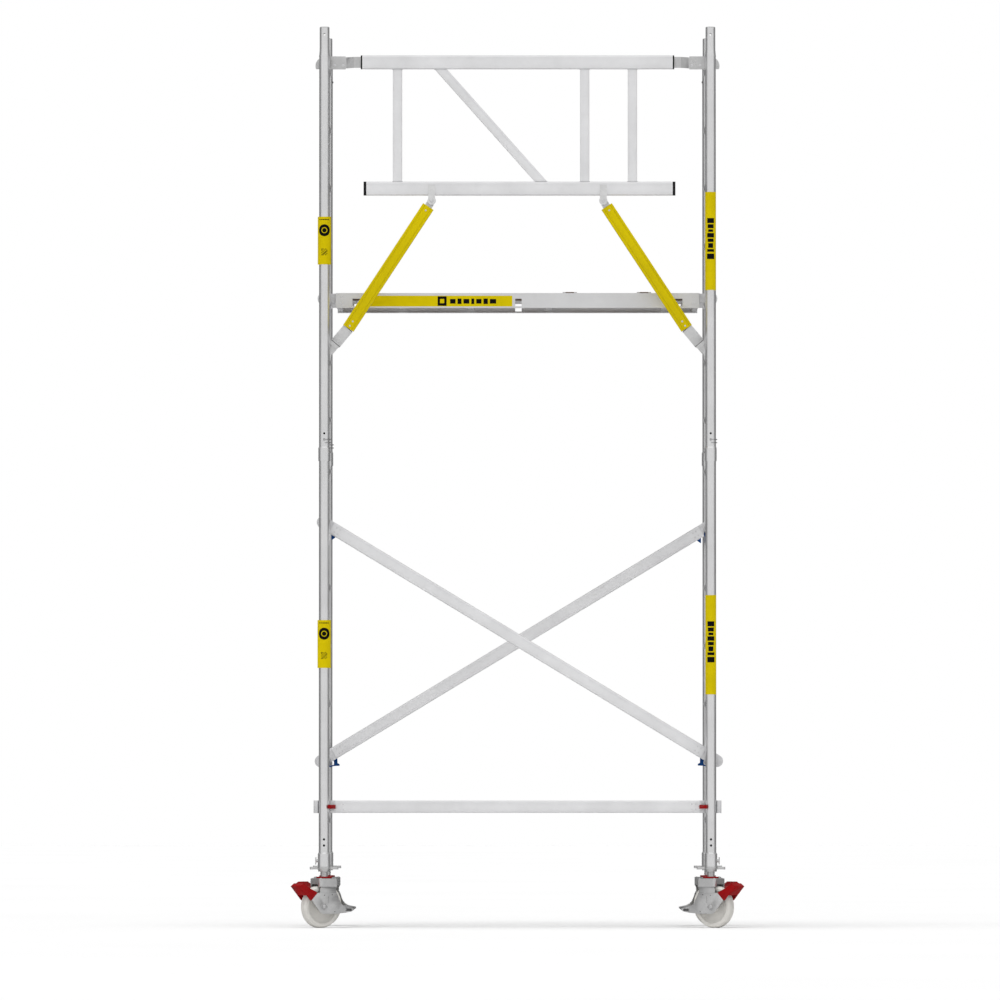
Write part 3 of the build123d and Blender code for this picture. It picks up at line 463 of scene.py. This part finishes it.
def make_rung_welds(name, node):
    """A rippled weld bead round both ends of every rung."""
    form = bmesh.new()
    turns = circle(40)
    for z in rung_heights(node):
        for x, y in POSTS:
            inward = 1 if y < 0 else -1
            line = [
                Vector((
                    x + RUNG_R * math.cos(a),
                    y + inward * math.sqrt(POST_R ** 2 - (RUNG_R * math.cos(a)) ** 2),
                    z + RUNG_R * math.sin(a),
                ))
                for a in turns
            ]
            outward = [Vector((math.cos(a), 0.9 * inward, math.sin(a))) for a in turns]
            bead(form, line, outward, RUNG_WELD_R, ripple=WELD_RIPPLE)
    new_piece(name, form, "weld_metal", "root")


def make_threads():
    """Threaded spindles: a round core with a trapezoid thread wound on it."""
    pitch = 8 * MM
    bore = 13 * MM
    root = 16.8 * MM
    sunk = root - 0.6 * MM
    crest = 18.5 * MM
    margin = 4 * MM                     # plain length at both ends
    steps = 28                          # per turn
    ridge = ((sunk, -2.5 * MM), (crest, -1.5 * MM), (crest, 1.5 * MM), (sunk, 2.5 * MM))
    for corner, centre in CORNERS.items():
        low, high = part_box(f"spindle_{corner}")
        form = bmesh.new()

        def vertex(radius, angle, z):
            x = centre.x + radius * math.cos(angle)
            y = centre.y + radius * math.sin(angle)
            return form.verts.new((x, y, z))

        section = ((bore, low.z), (root, low.z), (root, high.z), (bore, high.z))
        core = [[vertex(radius, a, z) for a in circle(48)] for radius, z in section]
        join_rings(form, core, closed=True)
        coils = []
        for k in range(int((high.z - low.z - 2 * margin) / pitch * steps)):
            a = 2 * math.pi * k / steps
            z = low.z + margin + pitch * k / steps
            coils.append([vertex(radius, a, z + rise) for radius, rise in ridge])
        join_rings(form, coils, closed=False)
        thread = new_piece(f"threaded_spindle_{corner}", form, "zinc", f"leg_{corner}")
        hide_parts(f"spindle_{corner}")


def make_post_hole_shade():
    """Painted shade: black domes set back in the posts' pin holes, and in a small hole near the top of each
    back post, where the holes should look dark.
    """
    form = bmesh.new()
    for node, rises in (("lower_posts", PIN_HOLES), ("upper_posts", PIN_HOLES[1:])):
        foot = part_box(node)[0].z
        for x, y in POSTS:
            for rise in rises:
                for face in (FORWARD, BACK):
                    place = Vector((x, y, foot + rise)) + face * (POST_R - 2.0 * MM)
                    dome(form, place, face, 5.0 * MM, 0.8 * MM)
    for x, y in POSTS:
        if y > 0:
            inward = Vector((-1 if x > 0 else 1, 0, 0))
            place = Vector((x, y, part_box("upper_posts")[1].z - TOP_HOLE)) + inward * POST_R
            dome(form, place, inward, 5 * MM, 3 * MM)
    # black film stands in for the shade inside the holes
    new_piece("pin_hole_painted_shade", form, "film_black", "root")


# ---------------------------------------------------------------- struts
STRUT_WIDTH = 59 * MM
FOOT_HALF = 27                          # half the width of a foot plate; this and what follows in mm
FOOT_SHEET = 2.4                        # its thickness
FOOT_FOLDS = (                          # along the plate, back from the tube's middle, half width
    (1, -5, FOOT_HALF), (45, -5, FOOT_HALF), (51, -3, FOOT_HALF),
    (84, 22, FOOT_HALF), (92, 26, FOOT_HALF), (112, 26, 20),
)
FOOT_SHADE_LINES = ((1.2, -5.2), (93.0, 25.8))    # along, back; painted shade lines at the tube's end and below the fold


def make_strut_feet():
    """Folded foot plates below the struts' tubes, with black beads at the tube's end and below the fold as
    painted shade at the steps.
    """
    for side, outer in (("left", -1), ("right", 1)):
        plate = bmesh.new()
        shade_beads = bmesh.new()
        middle, lean, half = tube_axis(f"strut_{side}", STRUT_WIDTH)
        start = middle + Vector((outer * math.cos(lean), 0, -math.sin(lean))) * half
        rung = Vector((outer * POST_X, middle.y, rung_heights("upper_rungs")[1]))
        run = (rung - start).normalized()
        across = Vector((-run.z, 0, run.x))

        def place(reach, sideways, back):
            return start + (run * reach + across * sideways + BACK * back) * MM

        rings = []
        for reach, back, wide in FOOT_FOLDS:
            section = ((-wide, back), (wide, back), (wide, back + FOOT_SHEET), (-wide, back + FOOT_SHEET))
            rings.append([plate.verts.new(place(reach, sideways, depth)) for sideways, depth in section])
        join_rings(plate, rings, closed=False)
        # black beads: painted shade where the plate steps at the tube's end and at the fold
        for reach, back in FOOT_SHADE_LINES:
            line = [place(reach, FOOT_HALF * k, back) for k in (-1, -0.5, 0, 0.5, 1)]
            bead(shade_beads, line, [FORWARD] * len(line), 1.3 * MM, closed=False)
        new_piece(f"strut_foot_plates_{side}", plate, "fitting_metal", f"strut_{side}_body")
        new_piece(f"strut_foot_shade_lines_{side}", shade_beads, "film_black", f"strut_{side}_body")


def make_strut_rivets():
    """Blind rivets that hold the fittings in each strut, two at the foot and one at the top."""
    for side, outer in (("left", -1), ("right", 1)):
        form = bmesh.new()
        low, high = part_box(f"strut_{side}")
        middle, lean, half = tube_axis(f"strut_{side}", STRUT_WIDTH)
        along = Vector((-outer * math.cos(lean), 0, math.sin(lean)))
        for face, y in ((FORWARD, low.y), (BACK, high.y)):
            for reach in (-half + 14 * MM, -half + 39 * MM, half - 22 * MM):
                place = middle + along * reach
                place.y = y
                dome(form, place, face, 4.6 * MM, 1.8 * MM)
        new_piece(f"strut_rivets_{side}", form, "bright_zinc", f"strut_{side}_body")


# ---------------------------------------------------------------- labels
TAG_R = 31.5 * MM            # curve of the clip-on tags on the left post
TAG_HEIGHT = 0.228
TAG_FEET = (3.157, 1.235)    # heights of the tags' lower edges
TAG_RING = 0.163             # middle of the ringed dot, above a tag's lower edge
TAG_SQUARES = 0.046          # lowest row of small squares, above the same edge
TAG_BARS = 0.014             # row of bars, below the upper edge
SQUARE_ROWS = 6
SQUARE_COLUMNS = 5
ROW_PITCH = 5.5 * MM
POST_FILMS = ((3.035, 3.503), (1.109, 1.582))       # lower and upper edges on the right post
FILM_WRAP = 1.24 * math.pi   # angle that a long film covers
FIRST_BAR = 0.125            # below a long film's upper edge
WEB_X = -0.3685              # middle of the film on the platform's front web
WEB_Z = 2.9885
BADGE_X = -0.360
FIRST_WEB_BAR = -0.322       # left edge of the first bar beside the badge


def on_post(centre, sleeve):
    """Points on a sleeve that touches the front of a post."""

    def place(s, z, lift):
        radius = sleeve + lift
        angle = s / sleeve
        front = centre.y - (POST_R - sleeve)
        return Vector((centre.x + radius * math.sin(angle), front - radius * math.cos(angle), z))

    return place


def make_tags(films, marks):
    """Clip-on tags on the left post: a row of bars, a ringed dot and a patch of small squares."""
    place = on_post(CORNERS["front_left"], TAG_R)
    for low in TAG_FEET:
        high = low + TAG_HEIGHT
        patch(films, math.pi * TAG_R, TAG_HEIGHT, 0, (low + high) / 2, place, 0.5 * MM)
        for k, size in enumerate((7, 4, 9, 6, 8, 5)):
            s = (-22 + 8.6 * k) * MM
            patch(marks, size * MM, (4 + k % 2) * MM, s, high - TAG_BARS, place, 0.7 * MM)
        ring = low + TAG_RING
        disc(marks, 28.5 * MM, 0, ring, place, 0.7 * MM)
        disc(films, 14 * MM, 0, ring, place, 0.85 * MM)
        disc(marks, 10.5 * MM, 0, ring, place, 1.0 * MM)
        for row in range(SQUARE_ROWS):
            z = low + TAG_SQUARES + ROW_PITCH * row
            for column in range(SQUARE_COLUMNS):
                if (row * 3 + column * 2) % 5 < 3:
                    patch(marks, 5 * MM, 4 * MM, (-12 + 6 * column) * MM, z, place, 0.7 * MM)


def make_post_films(films, marks):
    """Long films wrapped round the front of the right post, each with a column of bars and a block."""
    place = on_post(CORNERS["front_right"], POST_R)
    for low, high in POST_FILMS:
        patch(films, FILM_WRAP * POST_R, high - low, 0, (low + high) / 2, place, 0.6 * MM)
        z = high - FIRST_BAR
        for k, size in enumerate((24, 19, 12, 21, 16, 23, 13)):
            patch(marks, (34 - 5 * (k % 3)) * MM, size * MM, 0, z - size * MM / 2, place, 0.75 * MM)
            z -= (size + 5.5) * MM
        patch(marks, 36 * MM, 26 * MM, 0, z - 0.016, place, 0.75 * MM)


def make_web_film(films, marks):
    """The film on the platform's front web, with a framed badge and a row of bars."""
    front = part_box("platform_side_beams")[0].y

    def on_web(s, z, lift):
        return Vector((s, front - lift, z))

    flat = 0.05                         # a flat web needs no fine steps
    patch(films, 0.687, 0.051, WEB_X, WEB_Z, on_web, 0.25 * MM, step=flat)
    patch(marks, 0.043, 0.045, BADGE_X, WEB_Z, on_web, 0.4 * MM, step=flat)
    patch(films, 0.020, 0.020, BADGE_X, WEB_Z, on_web, 0.52 * MM, step=flat)
    s = FIRST_WEB_BAR
    for k, size in enumerate((26, 19, 28, 14, 25, 21, 30)):
        bar = (22 + 4 * (k % 2)) * MM
        patch(marks, size * MM, bar, s + size * MM / 2, WEB_Z - 1 * MM, on_web, 0.4 * MM, step=flat)
        s += (size + 9.5) * MM


def make_labels():
    """Plain yellow films with generic black marks on the front posts and the platform's front web."""
    films = bmesh.new()
    marks = bmesh.new()
    make_tags(films, marks)
    make_post_films(films, marks)
    make_web_film(films, marks)
    new_piece("label_films", films, "film_yellow", "root")
    new_piece("label_marks", marks, "film_black", "root")


# ---------------------------------------------------------------- fasteners and welds
UPRIGHTS_X = (-0.572, 0.3205, 0.548)
UPRIGHT_HALF = 22 * MM
SLANT_TOP_X = -0.366         # where the guardrail's diagonal meets the top rail
SLANT_FOOT_X = 0.112         # and the low rail
SLANT_HALF = 28.5 * MM
RAIL_WELD_R = 2.3 * MM
BRACKET_FACE = -0.321        # front of the guardrail brackets' inner plates
BRACKET_BOLTS = (0.832, 0.872)
BRACE_WIDTH = 58 * MM
BRACE_HALF_DEPTH = 13 * MM


def make_guardrail_welds():
    """Welds where the uprights and the diagonal meet the two rails."""
    form = bmesh.new()
    low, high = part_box("guardrail_uprights")
    y = (low.y + high.y) / 2
    deep = (high.y - low.y) / 2
    spots = [(x, UPRIGHT_HALF, z) for x in UPRIGHTS_X for z in (low.z, high.z)]
    spots += [(SLANT_TOP_X, SLANT_HALF, high.z), (SLANT_FOOT_X, SLANT_HALF, low.z)]
    for x, half, z in spots:
        into_gap = 0.4 if z == low.z else -0.4
        line = []
        outward = []
        for a in circle(48):            # clipping a larger oval leaves a rounded oblong
            px = half * max(-1, min(1, 1.35 * math.cos(a)))
            py = deep * max(-1, min(1, 1.35 * math.sin(a)))
            line.append(Vector((x + px, y + py, z)))
            outward.append(Vector((math.cos(a), math.sin(a), into_gap)))
        bead(form, line, outward, RAIL_WELD_R, ripple=WELD_RIPPLE)
    new_piece("guardrail_welds", form, "weld_metal", "root")


def add_horizontal_rivets(form):
    """Four small rivets on both faces of each end of the horizontal brace."""
    low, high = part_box("horizontal_tube")
    z = (low.z + high.z) / 2
    for side in (-1, 1):
        for inset in (18 * MM, 36 * MM):
            for dz in (-12 * MM, 12 * MM):
                x = side * (high.x - inset)
                dome(form, Vector((x, low.y, z + dz)), FORWARD, 3.0 * MM, 1.1 * MM)
                dome(form, Vector((x, high.y, z + dz)), BACK, 3.0 * MM, 1.1 * MM)


def add_beam_rivets(form):
    """Rivets through the ends of the platform's side beams."""
    low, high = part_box("platform_side_beams")
    for side in (-1, 1):
        for inset in (32 * MM, 22 * MM):
            for drop in (18 * MM, 50 * MM):
                for y, face in ((low.y, FORWARD), (high.y, BACK)):
                    place = Vector((side * (high.x - inset), y, high.z - drop))
                    dome(form, place, face, 3.2 * MM, 1.3 * MM)


def make_frame_fasteners():
    """Bolts and rivets that stay with the frame: brackets, knuckle straps, brace ends, platform ends."""
    form = bmesh.new()
    strap_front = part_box("knuckle_straps")[0].y
    bolt_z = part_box("guardrail_rails")[1].z - 45 * MM
    for side, name in ((-1, "left"), (1, "right")):
        knuckle = JOINTS[f"strut_swing_{name}"]["pos_m"]
        dome(form, Vector((knuckle[0], strap_front, knuckle[2])), FORWARD, 8 * MM, 3 * MM)
        for x in BRACKET_BOLTS:
            hex_head(form, Vector((side * x, BRACKET_FACE, bolt_z)), FORWARD, 4.5 * MM, 3.4 * MM)
    add_horizontal_rivets(form)
    add_beam_rivets(form)
    new_piece("frame_fasteners", form, "bright_zinc", "root")


def make_brace_rivets():
    """Crimp rivets near both ends of the crossed diagonals, clear of the upper latches' swing."""
    form = bmesh.new()
    low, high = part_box("diagonal_tubes")
    middle, lean, half = tube_axis("diagonal_tubes", BRACE_WIDTH)
    for y, rise in ((low.y + BRACE_HALF_DEPTH, -1), (high.y - BRACE_HALF_DEPTH, 1)):
        along = Vector((math.cos(lean), 0, rise * math.sin(lean)))
        across = Vector((-rise * math.sin(lean), 0, math.cos(lean)))
        for end in (-1, 1):
            faces = (FORWARD,) if end * rise > 0 else (FORWARD, BACK)
            for inset in (22 * MM, 40 * MM):
                for offset in (-11 * MM, 11 * MM):
                    for face in faces:
                        place = middle + along * (end * (half - inset)) + across * offset
                        place.y = y
                        dome(form, place + face * BRACE_HALF_DEPTH, face, 3.0 * MM, 1.1 * MM)
    new_piece("brace_rivets", form, "zinc", "root")


# ---------------------------------------------------------------- castors, in a castor's own millimetres
COVER_OUT = 40.0                                            # outer face of the brake covers
COVER_DOTS = ((25, 155), (-20, 157), (10, 99), (-35, 77))   # along, height
AXLE_RIM = (24, 100, 19)                                    # centre along, its height, and radius
GRIP_CENTRE = (-118, 84)
GRIP_ROUND = 6.0
GRIP_STRAIGHT = 9.5                                         # half the straight part
HOUSING_TOP = 235
HOUSING_DOTS = ((-42, -34), (-42, 34), (42, -34), (42, 34))
TREAD_COUNT = 5
TREAD_START = (112, 189.8)                                  # along and height of the pedal's inner edge
TREAD_RUN = (34, 22)                                        # from there to its outer edge


def make_cover_marks(corner, castor):
    """Rivets and a pressed line on both brake covers, and a raised rim round the axle bolt."""
    dots = bmesh.new()
    ribs = bmesh.new()
    for side in (-1, 1):
        out = castor.v * side
        for u, z in COVER_DOTS:
            dome(dots, castor.at(u, side * COVER_OUT, z), out, 2.4 * MM, 0.5 * MM)
        line = [castor.at(4 - 0.12 * k, side * (COVER_OUT - 0.1), 116 + 3.4 * k) for k in range(11)]
        bead(dots, line, [out] * len(line), 0.6 * MM, closed=False)
        along, height, radius = AXLE_RIM
        rim = [
            castor.at(along + radius * math.cos(a), side * (COVER_OUT - 0.2), height + radius * math.sin(a))
            for a in circle(32)
        ]
        bead(ribs, rim, [out] * len(rim), 0.9 * MM)
    new_piece(f"brake_cover_marks_{corner}", dots, "black", f"brake_{corner}")
    new_piece(f"brake_cover_ribs_{corner}", ribs, "zinc", f"brake_{corner}")


def make_release_grip(corner, castor):
    """The soft grip across the release tongue, an oblong bar with eased ends."""
    pad = bmesh.new()
    along, height = GRIP_CENTRE
    rings = []
    for v, radius in ((-40.5, 5.3), (-39.8, GRIP_ROUND), (39.8, GRIP_ROUND), (40.5, 5.3)):
        ring = []
        for a in circle(24):
            shift = GRIP_STRAIGHT if math.cos(a) > 0 else -GRIP_STRAIGHT
            ring.append(pad.verts.new(castor.at(
                along + shift + radius * math.cos(a), v, height + radius * math.sin(a)
            )))
        rings.append(ring)
    join_rings(pad, rings, closed=False)
    new_piece(f"release_grip_{corner}", pad, "grey_rubber", f"brake_{corner}")


def make_pedal_tread(corner, castor):
    """Raised bars across the top of the pedal."""
    tread = bmesh.new()
    for k in range(TREAD_COUNT):
        share = (k + 0.7) / (TREAD_COUNT + 0.6)
        u = TREAD_START[0] + TREAD_RUN[0] * share
        z = TREAD_START[1] + TREAD_RUN[1] * share
        line = [castor.at(u, v, z) for v in (-32, -16, 0, 16, 32)]
        bead(tread, line, [UP] * len(line), 1.2 * MM, closed=False)
    new_piece(f"pedal_tread_{corner}", tread, "red", f"brake_{corner}")


def make_fork_rivets(corner, castor):
    """Rivets at the four corners of the fork's housing."""
    fork = bmesh.new()
    for u, v in HOUSING_DOTS:
        dome(fork, castor.at(u, v, HOUSING_TOP), UP, 4.5 * MM, 2.0 * MM)
    new_piece(f"fork_rivets_{corner}", fork, "bright_zinc", f"swivel_{corner}")


# ---------------------------------------------------------------- platform
SCREW_INSET = 30 * MM        # of the end screws from the deck's ends
SIDE_SCREWS = 12             # along each side
GRIP_Y = 0.150               # middle of the hatch's finger hole
GRIP_END_R = 14.5 * MM
GRIP_HALF_RUN = 32 * MM      # half its straight part


def make_deck_screws():
    """Screws along both sides and both ends of the deck."""
    low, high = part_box("platform_deck")
    form = bmesh.new()
    first = low.x + SCREW_INSET
    last = high.x - SCREW_INSET
    places = [
        (first + (last - first) * k / (SIDE_SCREWS - 1), y)
        for y in (low.y + 14 * MM, high.y - 14 * MM)
        for k in range(SIDE_SCREWS)
    ]
    places += [(x, y) for x in (first, last) for y in (-0.14, 0.0, 0.14)]
    for x, y in places:
        dome(form, Vector((x, y, high.z)), UP, 4.2 * MM, 1.2 * MM)
    new_piece("deck_screws", form, "bright_zinc", "root")


def make_hatch_grip():
    """A rounded rim round the finger hole in the hatch."""
    low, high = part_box("hatch_lid")
    middle = (low.x + high.x) / 2
    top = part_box("platform_deck")[1].z
    form = bmesh.new()
    outline = []
    for a in circle(40):
        shift = GRIP_HALF_RUN if math.cos(a) > 0 else -GRIP_HALF_RUN
        outline.append(Vector((
            middle + shift + GRIP_END_R * math.cos(a), GRIP_Y + GRIP_END_R * math.sin(a), top
        )))
    bead(form, outline, [UP] * len(outline), 2.2 * MM)
    new_piece("hatch_grip_rim", form, "black", "hatch")


# ---------------------------------------------------------------- shading and worn edges
EDGE_WEAR = {                # width in mm of the worn edge, by the start of a node's name
    "castor_fork": 0.9, "brake_rocker": 0.7, "brake_pedal": 0.8, "cover_ring": 0.5,
    "wheel_": 1.4, "wing_nut": 0.9, "leg_lock_bolts": 0.4,
    "diagonal_claws": 0.9, "horizontal_claws": 0.9, "diagonal_latch": 0.6, "horizontal_latch": 0.6,
    "platform_hooks": 0.8, "guardrail_end_caps": 1.0, "guardrail_brackets": 0.6, "knuckle_straps": 0.5,
    "strut_left": 2.2, "strut_right": 2.2, "strut_fittings": 0.8,
}


def wear_edges(node, width):
    """Join the mesh's loose faces, then round its sharp edges; both as modifiers."""
    weld = NODES[node].modifiers.new("weld", "WELD")
    weld.merge_threshold = 0.02 * MM
    worn = NODES[node].modifiers.new("worn_edges", "BEVEL")
    worn.width = width * MM
    worn.segments = 2
    worn.limit_method = "ANGLE"
    worn.angle_limit = SHARP_ANGLE
    worn.harden_normals = True


for name, obj in NODES.items():
    round_shading(obj.data)
    widths = [width for start, width in EDGE_WEAR.items() if name.startswith(start)]
    if widths:
        wear_edges(name, widths[0])

make_rung_welds("lower_rung_welds", "lower_rungs")
make_rung_welds("upper_rung_welds", "upper_rungs")
make_threads()
make_post_hole_shade()
make_strut_feet()
make_labels()
make_strut_rivets()
make_guardrail_welds()
make_frame_fasteners()
make_brace_rivets()
for corner, castor in CASTORS.items():
    make_release_grip(corner, castor)
    make_cover_marks(corner, castor)
    make_pedal_tread(corner, castor)
    make_fork_rivets(corner, castor)
make_deck_screws()
make_hatch_grip()

# ---------------------------------------------------------------- stage
FLOOR_HALF = 60.0            # half the floor's side
SIDE_GLOW = 0.18             # studio light all round, and what the front and the top add to it
FRONT_GLOW = 0.51
FRONT_REACH = 0.40           # how far round from the side the front light grows
TOP_GLOW = 0.2
OVERHEAD_POWER = 2.0
OVERHEAD_SPREAD = math.radians(50)
OVERHEAD_LEAN = (math.radians(8), math.radians(-6), 0)
SENSOR = 36.0                # millimetres, as is the lens
CAMERA_DISTANCE = 44.5       # from the front posts
CAMERA_HEIGHT = 0.68
CAMERA_AIM = 2.035           # height that the camera looks at, at the front posts
VIEW_WIDTH = 4.762           # what the picture spans there
CAMERA_SHIFT = -0.0175       # of the picture's middle, as a part of its width


def make_floor():
    """A pale studio floor that runs out to white."""
    mesh = bpy.data.meshes.new("floor")
    form = bmesh.new()
    bmesh.ops.create_grid(form, x_segments=8, y_segments=8, size=FLOOR_HALF)
    form.to_mesh(mesh)
    form.free()
    floor = bpy.data.objects.new("floor", mesh)
    bpy.context.collection.objects.link(floor)
    recipe = Recipe("floor_white")
    tone = recipe.noise(0.4, detail=2)
    recipe.colour(recipe.ramp(tone, [(0.3, (0.93, 0.93, 0.93)), (0.7, (0.95, 0.95, 0.95))]))
    recipe.set(roughness=0.9)
    mesh.materials.append(recipe.material)
    floor.visible_glossy = False


def make_world():
    """A white backdrop, with studio light that is bright in front and above and dim at the sides."""
    world = bpy.data.worlds.new("studio")
    bpy.context.scene.world = world
    world.use_nodes = True
    tree = world.node_tree
    direction = tree.nodes.new("ShaderNodeTexCoord").outputs["Generated"]
    split = tree.nodes.new("ShaderNodeSeparateXYZ")
    tree.links.new(direction, split.inputs[0])
    total = None
    for axis, sign, reach, weight in (("Y", -1, FRONT_REACH, FRONT_GLOW), ("Z", 1, 1.0, TOP_GLOW)):
        facing = tree.nodes.new("ShaderNodeMath")
        facing.operation = "MULTIPLY"
        tree.links.new(split.outputs[axis], facing.inputs[0])
        facing.inputs[1].default_value = sign
        lobe = tree.nodes.new("ShaderNodeMapRange")
        lobe.interpolation_type = "SMOOTHSTEP"
        tree.links.new(facing.outputs[0], lobe.inputs["Value"])
        lobe.inputs["From Max"].default_value = reach
        lobe.inputs["To Max"].default_value = weight
        joined = tree.nodes.new("ShaderNodeMath")
        joined.operation = "ADD"
        tree.links.new(lobe.outputs[0], joined.inputs[0])
        joined.inputs[1].default_value = SIDE_GLOW
        if total is not None:
            tree.links.new(total, joined.inputs[1])
        total = joined.outputs[0]
    lit = tree.nodes["Background"]
    tree.links.new(total, lit.inputs["Strength"])
    lit.inputs["Color"].default_value = (1, 1, 1, 1)
    seen = tree.nodes.new("ShaderNodeBackground")
    choice = tree.nodes.new("ShaderNodeMixShader")
    tree.links.new(tree.nodes.new("ShaderNodeLightPath").outputs["Is Camera Ray"], choice.inputs["Fac"])
    tree.links.new(lit.outputs[0], choice.inputs[1])
    tree.links.new(seen.outputs[0], choice.inputs[2])
    seen.inputs["Color"].default_value = (1, 1, 1, 1)
    tree.links.new(choice.outputs[0], tree.nodes["World Output"].inputs["Surface"])


def make_lights():
    """One broad overhead light that whitens the floor and leaves soft shadows."""
    light = bpy.data.lights.new("overhead", "SUN")
    light.energy = OVERHEAD_POWER
    light.angle = OVERHEAD_SPREAD
    lamp = bpy.data.objects.new("overhead", light)
    lamp.rotation_euler = OVERHEAD_LEAN
    lamp.visible_glossy = False
    bpy.context.collection.objects.link(lamp)


def make_camera():
    """Long lens, low, tilted up a little: front, square on."""
    data = bpy.data.cameras.new("camera")
    data.sensor_width = SENSOR
    tilt = math.atan2(CAMERA_AIM - CAMERA_HEIGHT, CAMERA_DISTANCE)
    data.lens = SENSOR * CAMERA_DISTANCE / math.cos(tilt) / VIEW_WIDTH
    data.shift_x = CAMERA_SHIFT
    data.clip_end = 200
    camera = bpy.data.objects.new("camera", data)
    camera.location = (0, -POST_Y - CAMERA_DISTANCE, CAMERA_HEIGHT)
    camera.rotation_euler = (math.radians(90) + tilt, 0, 0)
    bpy.context.collection.objects.link(camera)
    bpy.context.scene.camera = camera


make_floor()
make_world()
make_lights()
make_camera()
bpy.context.scene.view_settings.view_transform = "Standard"
